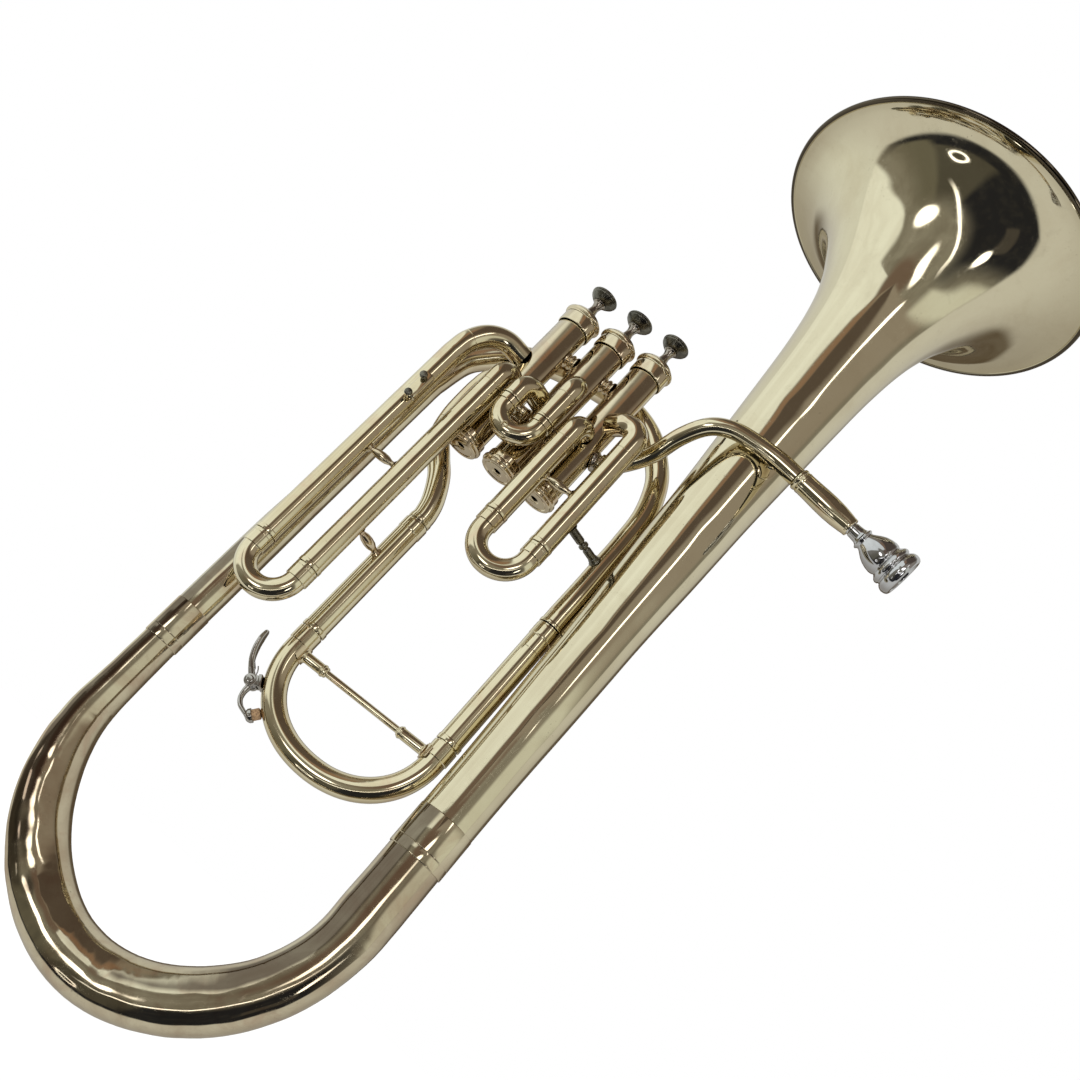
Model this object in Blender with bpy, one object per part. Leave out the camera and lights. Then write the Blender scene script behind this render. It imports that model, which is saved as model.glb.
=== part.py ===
"""Upright-bell alto (tenor) horn with three piston valves, built as an assembly.

Modelled in metres, +Z up. The horn stands as it is played: bell mouth up, bottom
bow down. +X runs from the bow branch towards the bell, and -Y is the front, the
side that carries the valve slides. All sizes below are in millimetres in the
horn's own layout: the bell tube's axis is x = 0, y = 0, and the bell's rim lies
in the plane z = 0.
"""
import math
import bpy
import bmesh
from mathutils import Vector, Matrix, geometry

for ob in list(bpy.data.objects):
    bpy.data.objects.remove(ob, do_unlink=True)

# ================================================================ driving sizes
X_SHIFT = 39.783        # layout to part frame: origin at the centre of the foot of the box
Z_SHIFT = 625.736       # layout to part frame: lowest point of the bottom bow at zero
UP = (0, 0, 1)
FRONT = (0, -1, 0)

# bell and bottom bow
BELL_RIM_R = 102.0      # bell diameter 204 mm (8 inch)
BELL_WALL = 0.9
BELL_BOTTOM = -470.8    # foot of the bell and of the branch tube
BOW_TOP = -471.6        # both ends of the bottom bow
LEG_SPACING = 172.0     # bell axis to branch axis
BRANCH_X = -LEG_SPACING
BOW_Z = -521.5          # centre height of the bottom bow's half circle
BOW_STRAIGHT_Z = -500.0
FERRULE_TOP = -459.5
FERRULE_BOTTOM = -483.0

# valve slides: outer tubes and the inner tubes that slide in them
SLIDE_R = 6.6
SLIDE_BORE = 6.15
INNER_R = 5.72
INNER_BORE = 5.2
SLIDE_BOW_R = 6.0
SLIDE_Y = -20.0         # plane of the valve slides, in front of the valves
SHOULDER_DROP = 0.5     # a slide's ferrule starts this far below its outer tube
LEG_STEP = 31           # degrees to each step of a leg's bends

# x of the left and right leg, and z of the outer tubes' lower ends
SLIDE_1_LEFT, SLIDE_1_RIGHT, SLIDE_1_MOUTH = -82.0, -52.3, -326.0
SLIDE_2_LEFT, SLIDE_2_RIGHT, SLIDE_2_MOUTH = -120.6, -98.0, -266.0
SLIDE_3_LEFT, SLIDE_3_RIGHT, SLIDE_3_MOUTH = -164.8, -135.0, -410.0

# main tuning slide
MAIN_R = 6.75
MAIN_BORE = 6.3
MAIN_COLLAR = (2.6, 7.15)       # length and radius at the outer tubes' lower ends
MAIN_SOCKET_R = 7.1             # thicker upper end of the outer tubes
MAIN_INNER_R = 5.85
MAIN_INNER_BORE = 5.3
MAIN_BOW_R = 6.7
MAIN_FERRULE_R = 6.95
MAIN_FERRULE = 8.5              # ferrule length
MAIN_INSERT = 62.0              # inner leg above its ferrule
TUNING_LEFT_X, TUNING_LEFT_Y, TUNING_LEFT_MOUTH = -119.0, 6.0, -428.6
TUNING_RIGHT_X, TUNING_RIGHT_Y, TUNING_RIGHT_MOUTH = -25.3, 4.0, -430.4
TUNING_MID_X = (TUNING_LEFT_X + TUNING_RIGHT_X) / 2
TUNING_BOW_R = (TUNING_RIGHT_X - TUNING_LEFT_X) / 2
TUNING_BOW_Z = -440.0
TUNING_BOW_DROP = 41.4
TUNING_ORIGIN = (TUNING_MID_X, (TUNING_LEFT_Y + TUNING_RIGHT_Y) / 2, -430)

# valves, numbered from the bell side
VALVE_1_X = -77.6
VALVE_PITCH = 26.2
VALVE_X = {number: VALVE_1_X - (number - 1) * VALVE_PITCH for number in (1, 2, 3)}
VALVE_Y = -2.0
VALVE_ORIGIN_Z = -226.0
CASING_R = 9.9
CASING_BORE = 9.3
CASING_TOP = -191.2
CASING_BOTTOM = -295.6
CAP_TOP = CASING_TOP + 2.6
CAP_BOTTOM = CASING_BOTTOM - 3.0
CAP_BORE = 10.35
CAP_DOME = 4.0          # rise of the top cap's dome, around the stem
CAP_HOLE = 4.7          # radius of the stem's hole in the top cap
PISTON_R = 8.9
PISTON_TOP = -190.9
PISTON_BOTTOM = -262.0
STEM_BOTTOM = PISTON_TOP + 0.5
BUTTON_Z = -167.2       # middle of the button's rim

# mouthpiece receiver
RECEIVER_BASE = Vector((29.2, -28.9, -210.3))
RECEIVER_LENGTH = 38.0
MOUTHPIECE_AXIS = Vector((0.984, 0.0, -0.179)).normalized()

TUBE_SIDES = 10
BELL_SIDES = 24
GAP = 0.3               # clearance between an attached part and the tube beside it
STEP = 0.02             # distance along a tube over which its radius steps


# ================================================================ materials
def material(name, color, roughness, metallic=1.0):
    mat = bpy.data.materials.new(name)
    mat.use_nodes = True
    shader = mat.node_tree.nodes["Principled BSDF"]
    shader.inputs["Base Color"].default_value = (*color, 1.0)
    shader.inputs["Roughness"].default_value = roughness
    shader.inputs["Metallic"].default_value = metallic
    mat.diffuse_color = (*color, 1.0)
    return mat


brass = material("lacquered_brass", color=(0.66, 0.57, 0.36), roughness=0.18)
silver = material("silver_plate", color=(0.75, 0.75, 0.74), roughness=0.12)
nickel = material("tarnished_nickel", color=(0.22, 0.21, 0.18), roughness=0.35)
steel = material("spring_steel", color=(0.55, 0.55, 0.56), roughness=0.3)
monel = material("piston_metal", color=(0.62, 0.61, 0.58), roughness=0.22)
cork = material("cork", color=(0.45, 0.30, 0.16), roughness=0.85, metallic=0.0)


# ================================================================ path helpers
def vectors(points):
    return [Vector(point) for point in points]


def fillet(points, radii, step):
    """Round a polyline's inner corners by arcs, with at most step degrees a piece."""
    points = vectors(points)
    out = [points[0]]
    for before, corner, after, radius in zip(points, points[1:], points[2:], radii):
        back = (before - corner).normalized()
        ahead = (after - corner).normalized()
        turn = math.pi - back.angle(ahead)
        start = corner + back * (radius * math.tan(turn / 2))
        centre = corner + (back + ahead).normalized() * (radius / math.cos(turn / 2))
        axis = back.cross(ahead).normalized()
        count = max(2, math.ceil(math.degrees(turn) / step))
        for k in range(count + 1):
            out.append(centre + Matrix.Rotation(-turn * k / count, 3, axis) @ (start - centre))
    return out + [points[-1]]


def smooth(points, steps):
    """A Catmull-Rom curve through the points, with the given steps to each span."""
    points = vectors(points)
    ends = [points[0] * 2 - points[1]] + points + [points[-1] * 2 - points[-2]]
    out = []
    for p0, p1, p2, p3 in zip(ends, ends[1:], ends[2:], ends[3:]):
        for k in range(steps):
            t = k / steps
            out.append(0.5 * ((2 * p1) + (p2 - p0) * t
                              + (2 * p0 - 5 * p1 + 4 * p2 - p3) * t * t
                              + (3 * p1 - p0 - 3 * p2 + p3) * t * t * t))
    return out + [points[-1]]


def lengths(path):
    """Distance along the path to each of its points."""
    path = vectors(path)
    out = [0.0]
    for a, b in zip(path, path[1:]):
        out.append(out[-1] + (b - a).length)
    return out


def at_length(path, distances, distance):
    last = len(path) - 2
    for i in range(last + 1):
        if distance <= distances[i + 1] or i == last:
            span = distances[i + 1] - distances[i]
            return path[i].lerp(path[i + 1], (distance - distances[i]) / span)


def side_axis(direction):
    """A unit vector square to the direction."""
    ref = Vector((0, 1, 0)) if abs(direction.y) < 0.9 else Vector((1, 0, 0))
    return (ref - direction * ref.dot(direction)).normalized()


def frames(path):
    """Rotation-minimising frames along a path, one (side, across) pair to each point."""
    last = len(path) - 1
    tangents = [(path[min(i + 1, last)] - path[max(i - 1, 0)]).normalized()
                for i in range(last + 1)]
    side = side_axis(tangents[0])
    out = []
    for tangent in tangents:
        side = (side - tangent * side.dot(tangent)).normalized()
        out.append((side, tangent.cross(side)))
    return out


def radius_at(radii, distance):
    """Straight-line lookup in a list of (distance, radius) pairs."""
    if distance <= radii[0][0]:
        return radii[0][1]
    for (a, radius_a), (b, radius_b) in zip(radii, radii[1:]):
        if distance <= b:
            return radius_a + (radius_b - radius_a) * (distance - a) / (b - a)
    return radii[-1][1]


def bands(*pieces):
    """Radius table of cylindrical bands, each given as (end distance, radius)."""
    radii, start = [], 0
    for end, radius in pieces:
        radii += [(start, radius), (end, radius)]
        start = end + STEP
    return radii


def u_slide_bands(path, left, right, ferrule, inner_r, ferrule_r, bow_r):
    """Bands of a U-shaped slide: inner leg, ferrule, bow, ferrule, inner leg."""
    total = lengths(path)[-1]
    return bands((left, inner_r), (left + ferrule, ferrule_r),
                 (total - right - ferrule - STEP, bow_r),
                 (total - right - STEP, ferrule_r), (total, inner_r))


def thinned(radii, wall):
    return [(distance, radius - wall) for distance, radius in radii]


# ================================================================ mesh helpers
def to_part(point):
    """Layout millimetres to metres in the part frame."""
    x, y, z = point
    return Vector(((x + X_SHIFT) / 1000, y / 1000, (z + Z_SHIFT) / 1000))


def add(name, verts, faces, mat, origin):
    """Make an object from layout points; its origin is a layout point too."""
    location = to_part(origin)
    mesh = bpy.data.meshes.new(name)
    mesh.from_pydata([tuple(to_part(p) - location) for p in verts], [], faces)
    bm = bmesh.new()
    bm.from_mesh(mesh)
    bmesh.ops.remove_doubles(bm, verts=bm.verts, dist=1e-7)
    bmesh.ops.recalc_face_normals(bm, faces=bm.faces)
    if bm.calc_volume(signed=True) < 0:
        bmesh.ops.reverse_faces(bm, faces=bm.faces)
    bm.to_mesh(mesh)
    bm.free()
    mesh.shade_smooth()
    mesh.set_sharp_from_angle(angle=math.radians(38))
    mesh.materials.append(mat)
    ob = bpy.data.objects.new(name, mesh)
    bpy.context.scene.collection.objects.link(ob)
    ob.location = location
    return ob


def ring(centre, side, across, radius, count):
    angles = [2 * math.pi * k / count for k in range(count)]
    return [centre + side * (radius * math.cos(a)) + across * (radius * math.sin(a))
            for a in angles]


def tube(name, path, outer, inner, mat=brass, sides=TUBE_SIDES, origin=(0, 0, 0)):
    """Sweep a round pipe along a path. outer and inner are radii, or tables of
    (distance, radius). With no inner radius the piece is a solid rod."""
    path = vectors(path)
    distances = lengths(path)
    total = distances[-1]
    skins = [radii if isinstance(radii, list) else [(0, radii)]
             for radii in (outer, inner) if radii is not None]
    marks = {round(d, 5) for d in distances}
    marks |= {round(min(d, total), 5) for radii in skins for d, _ in radii}
    marks = sorted(marks)
    stations = [marks[0]]
    for mark in marks[1:]:
        if mark - stations[-1] > 0.0199:    # just under STEP
            stations.append(mark)
    stations[-1] = total

    centres = [at_length(path, distances, d) for d in stations]
    axes = frames(centres)
    verts = []
    for radii in skins:
        for centre, (side, across), d in zip(centres, axes, stations):
            verts += ring(centre, side, across, radius_at(radii, d), sides)

    rows = len(centres)
    last = rows - 1

    def at(row, k):
        return row * sides + k % sides

    faces = [(at(i, k), at(i, k + 1), at(i + 1, k + 1), at(i + 1, k))
             for i in range(last) for k in range(sides)]
    if inner is None:
        faces.append(tuple(reversed(range(sides))))
        faces.append(tuple(at(last, k) for k in range(sides)))
    else:
        faces += [(at(i, k + 1), at(i, k), at(i + 1, k), at(i + 1, k + 1))
                  for i in range(rows, rows + last) for k in range(sides)]
        for k in range(sides):
            faces.append((at(0, k + 1), at(0, k), at(rows, k), at(rows, k + 1)))
            faces.append((at(last, k), at(last, k + 1),
                          at(rows + last, k + 1), at(rows + last, k)))
    return add(name, verts, faces, mat, origin)


def lathe(name, profile, base, axis, sides, mat=brass, origin=(0, 0, 0)):
    """Turn a closed (radius, distance) profile about an axis through base.
    Points at radius zero become single poles."""
    base = Vector(base)
    axis = Vector(axis).normalized()
    side = side_axis(axis)
    across = axis.cross(side)
    verts, rows = [], []
    for radius, distance in profile:
        centre = base + axis * distance
        points = [centre] if radius < 1e-6 else ring(centre, side, across, radius, sides)
        rows.append(range(len(verts), len(verts) + len(points)))
        verts += points
    faces = []
    for a, b in zip(rows, rows[1:] + rows[:1]):
        if len(a) == 1 and len(b) == 1:
            continue
        for k in range(sides):
            k2 = (k + 1) % sides
            if len(a) == 1:
                faces.append((a[0], b[k], b[k2]))
            elif len(b) == 1:
                faces.append((a[k], b[0], a[k2]))
            else:
                faces.append((a[k], b[k], b[k2], a[k2]))
    return add(name, verts, faces, mat, origin)


def plate(name, outline, holes, place, thick, mat, origin=(0, 0, 0)):
    """Extrude a flat outline with holes. place(u, v, w) gives the layout point."""
    loops = [[Vector((x, y, 0)) for x, y in loop] for loop in [outline] + holes]
    triangles = geometry.tessellate_polygon(loops)
    flat = [p for loop in loops for p in loop]
    n = len(flat)
    verts = [place(p.x, p.y, w) for w in (-thick / 2, thick / 2) for p in flat]
    faces = [tuple(t) for t in triangles]
    faces += [tuple(i + n for i in reversed(t)) for t in triangles]
    start = 0
    for loop in loops:
        for k in range(len(loop)):
            a = start + k
            b = start + (k + 1) % len(loop)
            faces.append((a, b, b + n, a + n))
        start += len(loop)
    return add(name, verts, faces, mat, origin)


def circle(centre_x, centre_y, radius, count):
    angles = [2 * math.pi * k / count for k in range(count)]
    return [(centre_x + radius * math.cos(a), centre_y + radius * math.sin(a)) for a in angles]


def ring_profile(r_in, r_out, z_low, z_high):
    return [(r_in, z_low), (r_out, z_low), (r_out, z_high), (r_in, z_high)]


def add_boolean(target, name, operation, helper):
    """Join or cut target with a helper that is itself hidden from renders."""
    helper.hide_render = True
    helper.display_type = 'WIRE'
    mod = target.modifiers.new(name, 'BOOLEAN')
    mod.operation = operation
    mod.solver = 'EXACT'
    mod.object = helper


def between(a, radius_a, b, radius_b):
    """Ends of a line from a to b, cut back to just clear of the tubes around them."""
    a, b = Vector(a), Vector(b)
    direction = (b - a).normalized()
    return a + direction * (radius_a + GAP), b - direction * (radius_b + GAP)


# ================================================================ bell and bow
def build_bell():
    # (z, outside radius) from the foot up to the rim
    flare = [(BELL_BOTTOM, 14.7), (-400.0, 16.2), (-330.0, 18.1), (-230.0, 22.4),
             (-160.0, 26.5), (-105.0, 31.6), (-75.0, 37.8), (-50.0, 47.2),
             (-30.0, 59.4), (-15.0, 73.8), (-5.0, 90.0)]
    # (radius, z) over the rim and down its inner side
    rim = [(99.5, -2.6), (BELL_RIM_R, -2.0), (BELL_RIM_R, -0.8), (101.2, 0.0), (98.2, 0.0),
           (89.2, -4.1), (73.1, -14.3)]
    outside = [(r, z) for z, r in flare]
    inside = [(r - BELL_WALL, z) for z, r in reversed(flare[:-2])]
    lathe("bell", outside + rim + inside, (0, 0, 0), UP, BELL_SIDES)


def build_bow_ferrules():
    lathe("bell_bow_ferrule", ring_profile(15.35, 15.95, FERRULE_BOTTOM, FERRULE_TOP),
          (0, 0, 0), UP, BELL_SIDES)
    lathe("bow_branch_ferrule", ring_profile(9.95, 10.5, FERRULE_BOTTOM, FERRULE_TOP),
          (BRANCH_X, 0, 0), UP, 20)


def bow_centre(angle):
    """Centre line of the bottom bow, from 0 degrees at the bell side to 180."""
    half = LEG_SPACING / 2
    bulge = 3.8 * math.exp(-((angle - 92.0) / 30.0) ** 2)
    t = math.radians(angle)
    return (-half + (half + bulge) * math.cos(t), 0, BOW_Z - (half + bulge) * math.sin(t))


def build_bottom_bow():
    path = [(0, 0, BOW_TOP), (0, 0, BOW_STRAIGHT_Z)]
    path += [bow_centre(angle) for angle in range(0, 181, 15)]
    path += [(BRANCH_X, 0, BOW_STRAIGHT_Z), (BRANCH_X, 0, BOW_TOP)]
    distances = lengths(path)
    arc_start, arc_end = distances[2], distances[-3]
    # (angle, radius) round the half circle
    arc_radii = [(0, 14.6), (15, 14.4), (45, 14.9), (105, 14.8), (135, 14.4),
                 (150, 13.6), (165, 12.1), (180, 10.6)]
    radii = [(0, 14.6)]
    radii += [(arc_start + (arc_end - arc_start) * angle / 180.0, r) for angle, r in arc_radii]
    radii += [(distances[-2], 9.7), (distances[-1], 9.4)]
    tube("bottom_bow", path, radii, thinned(radii, 0.8), sides=14)


# ================================================================ branch, return and feed tubes
def build_branch():
    """From the bottom bow up, then over towards the bell behind the valves."""
    riser = [(BRANCH_X, 0, -440), (BRANCH_X, 0, -410), (-176.5, 13.0, -305),
             (-176.5, 14.4, -276)]
    crook = [(-176.2, 14.6, -270), (-171.6, 15.2, -247.5), (-163.1, 15.5, -235.4),
             (-150, 15.5, -223.4), (-134, 15.5, -216.0), (-112, 15.5, -211.5),
             (-92.3, 15.5, -209.9)]
    path = [(BRANCH_X, 0, BELL_BOTTOM)] + fillet(riser, [260, 160], 22) + smooth(crook, 2)
    total = lengths(path)[-1]
    radii = [(0, 9.4), (60, 9.5), (110, 9.0), (170, 8.3), (total - 90, 7.3), (total, 6.9)]
    tube("main_branch_tube", path, radii, thinned(radii, 0.6))


def build_return_tube():
    """From the branch's end over and down to the right tuning tube."""
    bends = [(TUNING_RIGHT_X, TUNING_RIGHT_Y, -342), (-25.2, 5.0, -325), (-25.6, 7.0, -305),
             (-26.0, 9.0, -285), (-27.8, 11.4, -262), (-34.5, 13.3, -241.5),
             (-43.5, 14.6, -228.5), (-56, 15.3, -217.0), (-70, 15.5, -210.6),
             (-82, 15.5, -209.0), (-91.4, 15.5, -209.8)]
    tube("return_tube", [(TUNING_RIGHT_X, TUNING_RIGHT_Y, -349.2)] + smooth(bends, 2), 6.75, 6.2)


def tuning_tube(name, x, y, mouth, top, plain_end, length):
    """Outer tube of the tuning slide: collar, plain length up to plain_end, socket."""
    tube(name, [(x, y, mouth), (x, y, top)],
         bands(MAIN_COLLAR, (plain_end, MAIN_R), (length, MAIN_SOCKET_R)), MAIN_BORE)


def build_tuning_tubes():
    tuning_tube("tuning_tube_right", TUNING_RIGHT_X, TUNING_RIGHT_Y, TUNING_RIGHT_MOUTH,
                top=-350.0, plain_end=63.5, length=80.4)
    tuning_tube("tuning_tube_left", TUNING_LEFT_X, TUNING_LEFT_Y, TUNING_LEFT_MOUTH,
                top=-347.3, plain_end=74.0, length=81.3)


def build_feed_tube():
    """From the left tuning tube up to the third valve."""
    bends = [(TUNING_LEFT_X, TUNING_LEFT_Y, -346.7), (-119.3, 6, -340), (-122.1, 6, -330.5),
             (-129.2, 6, -317.8), (-137.8, 6.8, -308.2), (-146.3, 8.0, -297.5),
             (-149.9, 8.0, -283), (-150.4, 7.4, -268), (-149.8, 6.6, -258.5),
             (-147.2, 3.8, -252.4), (-141.6, 1.8, -250.4)]
    tube("tuning_feed_tube", smooth(bends, 2), 6.5, 5.9)


# ================================================================ leadpipe and receiver
def build_leadpipe():
    bends = [(-66.0, -2.6, -258.6), (-60.0, -2.6, -256.6), (-52.0, -3.2, -248.0),
             (-43.6, -7.0, -236.8), (-35.5, -19.0, -224.3), (-26.0, -26.6, -214.2),
             (-14.5, -28.8, -208.6), (0.0, -28.9, -207.2)]
    path = smooth(bends, 2) + [(14.0, -28.9, -207.9), (28.6, -28.9, -210.2)]
    sleeve = 9.0    # thicker length at the first valve
    radii = [(0, 5.9), (sleeve, 5.9), (sleeve + STEP, 4.8), (lengths(path)[-1], 4.9)]
    tube("leadpipe", path, radii, 4.2)


def build_receiver():
    profile = [(4.35, 0), (6.1, 0), (6.35, 0.9), (6.35, 3.4), (5.8, 4.4), (5.6, 29.5),
               (5.1, 36.5), (5.1, RECEIVER_LENGTH), (4.5, RECEIVER_LENGTH)]
    lathe("mouthpiece_receiver", profile, RECEIVER_BASE, MOUTHPIECE_AXIS, 16)


def build_leadpipe_saddle():
    """Turned foot between the bell tube and the leadpipe in front of it."""
    lathe("leadpipe_saddle", [(0, 0), (2.5, 0), (2.1, 0.9), (2.4, 1.9), (0, 1.9)],
          (13.0, -21.8, -208.3), FRONT, 10)


# ================================================================ valves
def add_studs(casing, x):
    """The two turned studs that space the middle casing from its neighbours."""
    profile = [(0, 0), (2.4, 0), (2.4, 1.1), (3.6, 2.0), (3.6, 3.0), (2.2, 3.5), (3.6, 4.0),
               (3.6, 5.0), (2.4, 5.9), (2.4, 6.5), (0, 6.5)]
    for side in (-1, 1):
        stud = lathe("cut_stud", profile, (x + side * 9.4, VALVE_Y, -215.5), (side, 0, 0), 12)
        add_boolean(casing, "stud", 'UNION', stud)


def build_valve_body(number, x):
    """Casing and its two screw caps."""
    casing = lathe("valve_casing_%d" % number,
                   ring_profile(CASING_BORE, CASING_R, CASING_BOTTOM, CASING_TOP),
                   (x, VALVE_Y, 0), UP, 16)
    if number == 2:
        add_studs(casing, x)
    # (radius, height above CAP_TOP)
    top_cap = [(CAP_HOLE, -1.0), (CAP_HOLE, CAP_DOME), (CAP_HOLE + 1.0, CAP_DOME), (7.2, 3.5),
               (10.4, 2.1), (11.6, 1.1), (11.9, 0), (11.9, -1.0), (11.0, -1.6),
               (10.95, -9.4), (CAP_BORE, -9.4), (CAP_BORE, -1.4), (7.4, -1.0)]
    lathe("top_cap_%d" % number, top_cap, (x, VALVE_Y, CAP_TOP), UP, 16)
    # (radius, height above CAP_BOTTOM)
    bottom_cap = [(1.7, 1.4), (CAP_BORE, 1.4), (CAP_BORE, 8.6), (10.9, 8.6), (11.0, 4.4),
                  (11.8, 3.9), (11.8, 1.9), (10.6, 0), (1.7, 0)]
    lathe("bottom_cap_%d" % number, bottom_cap, (x, VALVE_Y, CAP_BOTTOM), UP, 16)


def build_piston(number, x):
    """Piston, stem and finger button, which share one origin."""
    origin = (x, VALVE_Y, VALVE_ORIGIN_Z)
    piston = [(0, PISTON_BOTTOM), (7.6, PISTON_BOTTOM), (PISTON_R, PISTON_BOTTOM + 1.0),
              (PISTON_R, PISTON_TOP - 1.1), (7.6, PISTON_TOP), (0, PISTON_TOP)]
    lathe("piston_%d" % number, piston, (x, VALVE_Y, 0), UP, 14, monel, origin)
    # (radius, height above STEM_BOTTOM)
    stem_length = BUTTON_Z - 5.0 - STEM_BOTTOM
    stem = [(0, 0), (4.1, 0), (4.1, 6.5), (3.2, 9.4), (2.5, 12.4), (2.6, 14.0), (3.2, 16.2),
            (4.2, stem_length), (0, stem_length)]
    lathe("valve_stem_%d" % number, stem, (x, VALVE_Y, STEM_BOTTOM), UP, 10, nickel, origin)
    # (radius, height above BUTTON_Z)
    button = [(0, -4.6), (4.4, -4.6), (6.6, -2.9), (8.2, -1.3), (8.6, -0.5), (8.6, 0.5),
              (7.9, 1.3), (4.6, 1.9), (0, 2.1)]
    lathe("finger_button_%d" % number, button, (x, VALVE_Y, BUTTON_Z), UP, 14, nickel, origin)


def build_spring(number, x):
    turns, steps_per_turn, coil_r = 4, 8, 6.6
    bottom, top = CAP_BOTTOM + 2.6, PISTON_BOTTOM - 1.4
    steps = turns * steps_per_turn
    coil = []
    for i in range(steps + 1):
        angle = 2 * math.pi * turns * i / steps
        coil.append((x + coil_r * math.cos(angle), VALVE_Y + coil_r * math.sin(angle),
                     bottom + (top - bottom) * i / steps))
    tube("valve_spring_%d" % number, coil, 0.5, None, steel, sides=4)


def build_valves():
    for number, x in VALVE_X.items():
        build_valve_body(number, x)
        build_piston(number, x)
        build_spring(number, x)


def build_knuckles():
    """Short tubes between neighbouring casings."""
    for number in (1, 2):
        middle = (VALVE_X[number] + VALVE_X[number + 1]) / 2
        path = [(middle + reach, VALVE_Y + 2.0, -261.5) for reach in (-2.9, 2.9)]
        tube("knuckle_%d_%d" % (number, number + 1), path, 6.3, 5.7, sides=12)


# ================================================================ valve slides
def port(valve, angle, z, reach=0.0):
    """A point outside a casing's wall; angle in degrees from -Y towards +X."""
    a = math.radians(angle)
    d = CASING_R + 0.4 + reach
    return (VALVE_X[valve] + d * math.sin(a), VALVE_Y - d * math.cos(a), z)


def outer_leg(name, path, collar=2.2):
    """Outer slide tube with a collar round its lower end."""
    radii = bands((collar, SLIDE_R + 0.2), (lengths(path)[-1], SLIDE_R))
    tube(name, path, radii, SLIDE_BORE)


def bent_leg(name, x, mouth, corner_z, ends, radii, collar=2.2):
    """Outer leg that rises to a rounded corner, then runs to the points in ends."""
    points = [(x, SLIDE_Y, mouth), (x, SLIDE_Y, corner_z)] + ends
    outer_leg(name, fillet(points, radii, LEG_STEP), collar)


def slide_bow(name, left_x, right_x, mouth, ferrule, arc_z, insert_left, insert_right):
    """U-shaped inner slide: two legs inside the outer tubes, two ferrules below them
    and the bow. It slides along -Z."""
    radius = (right_x - left_x) / 2
    middle = (right_x + left_x) / 2
    path = [(left_x, SLIDE_Y, mouth + insert_left), (left_x, SLIDE_Y, arc_z)]
    for angle in range(150, 0, -30):
        a = math.radians(angle)
        path.append((middle + radius * math.cos(a), SLIDE_Y, arc_z - radius * math.sin(a)))
    path += [(right_x, SLIDE_Y, arc_z), (right_x, SLIDE_Y, mouth + insert_right)]
    radii = u_slide_bands(path, insert_left + SHOULDER_DROP, insert_right + SHOULDER_DROP,
                          ferrule, INNER_R, SLIDE_R, SLIDE_BOW_R)
    tube(name, path, radii, INNER_BORE, origin=(middle, SLIDE_Y, mouth))


def build_slide_1():
    bent_leg("slide_1_tube_left", SLIDE_1_LEFT, SLIDE_1_MOUTH, -253.0,
             [port(1, -13.7, -253.0)], [7.4])
    bent_leg("slide_1_tube_right", SLIDE_1_RIGHT, SLIDE_1_MOUTH, -237.8,
             [port(1, 42, -237.2, reach=11.6), port(1, 42, -237.2)], [8.3, 5.0])
    slide_bow("slide_1_bow", SLIDE_1_LEFT, SLIDE_1_RIGHT, SLIDE_1_MOUTH, ferrule=7.0,
              arc_z=-335.4, insert_left=36, insert_right=36)


def build_slide_2():
    bent_leg("slide_2_tube_left", SLIDE_2_LEFT, SLIDE_2_MOUTH, -251.6,
             [port(2, -43, -251.6)], [6.9], collar=1.4)
    bent_leg("slide_2_tube_right", SLIDE_2_RIGHT, SLIDE_2_MOUTH, -234.0,
             [port(2, 18, -234.0)], [7.4], collar=1.4)
    slide_bow("slide_2_bow", SLIDE_2_LEFT, SLIDE_2_RIGHT, SLIDE_2_MOUTH, ferrule=3.6,
              arc_z=-271.4, insert_left=7.0, insert_right=9.0)
    # pull knob on the left leg, pointing at the right leg
    knob = [(0, 0), (1.9, 0), (1.3, 0.7), (1.3, 2.0), (2.3, 2.7), (2.3, 4.6), (1.5, 5.3),
            (0, 5.3)]
    lathe("slide_2_pull_knob", knob,
          (SLIDE_2_LEFT + SLIDE_R + GAP, SLIDE_Y, SLIDE_2_MOUTH - 1.9), (1, 0, 0), 10,
          origin=((SLIDE_2_LEFT + SLIDE_2_RIGHT) / 2, SLIDE_Y, SLIDE_2_MOUTH))


def build_slide_3():
    bends = [(SLIDE_3_LEFT, SLIDE_Y, -264), (-163.4, -19.6, -252.0), (-158.2, -17.4, -241.0),
             (-149.8, -12.6, -234.4), port(3, -64, -233.6)]
    outer_leg("slide_3_tube_left",
              [(SLIDE_3_LEFT, SLIDE_Y, SLIDE_3_MOUTH)] + smooth(bends, 3))
    bent_leg("slide_3_tube_right", SLIDE_3_RIGHT, SLIDE_3_MOUTH, -251.5,
             [port(3, -15.5, -251.5)], [7.4])
    slide_bow("slide_3_bow", SLIDE_3_LEFT, SLIDE_3_RIGHT, SLIDE_3_MOUTH, ferrule=8.5,
              arc_z=-418.6, insert_left=60, insert_right=60)


# ================================================================ braces and lyre socket
def strut(name, a, radius_a, b, radius_b, foot_r, waist_r):
    """A turned post between two tubes, with a spread foot at each end."""
    start, end = between(a, radius_a, b, radius_b)
    height = (end - start).length
    foot = min(2.2, height * 0.2)
    profile = [(0, 0), (foot_r, 0), (foot_r * 0.72, foot * 0.5), (waist_r, foot),
               (waist_r * 1.12, height * 0.5), (waist_r, height - foot),
               (foot_r * 0.72, height - foot * 0.5), (foot_r, height), (0, height)]
    lathe(name, profile, start, end - start, 10)


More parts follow.
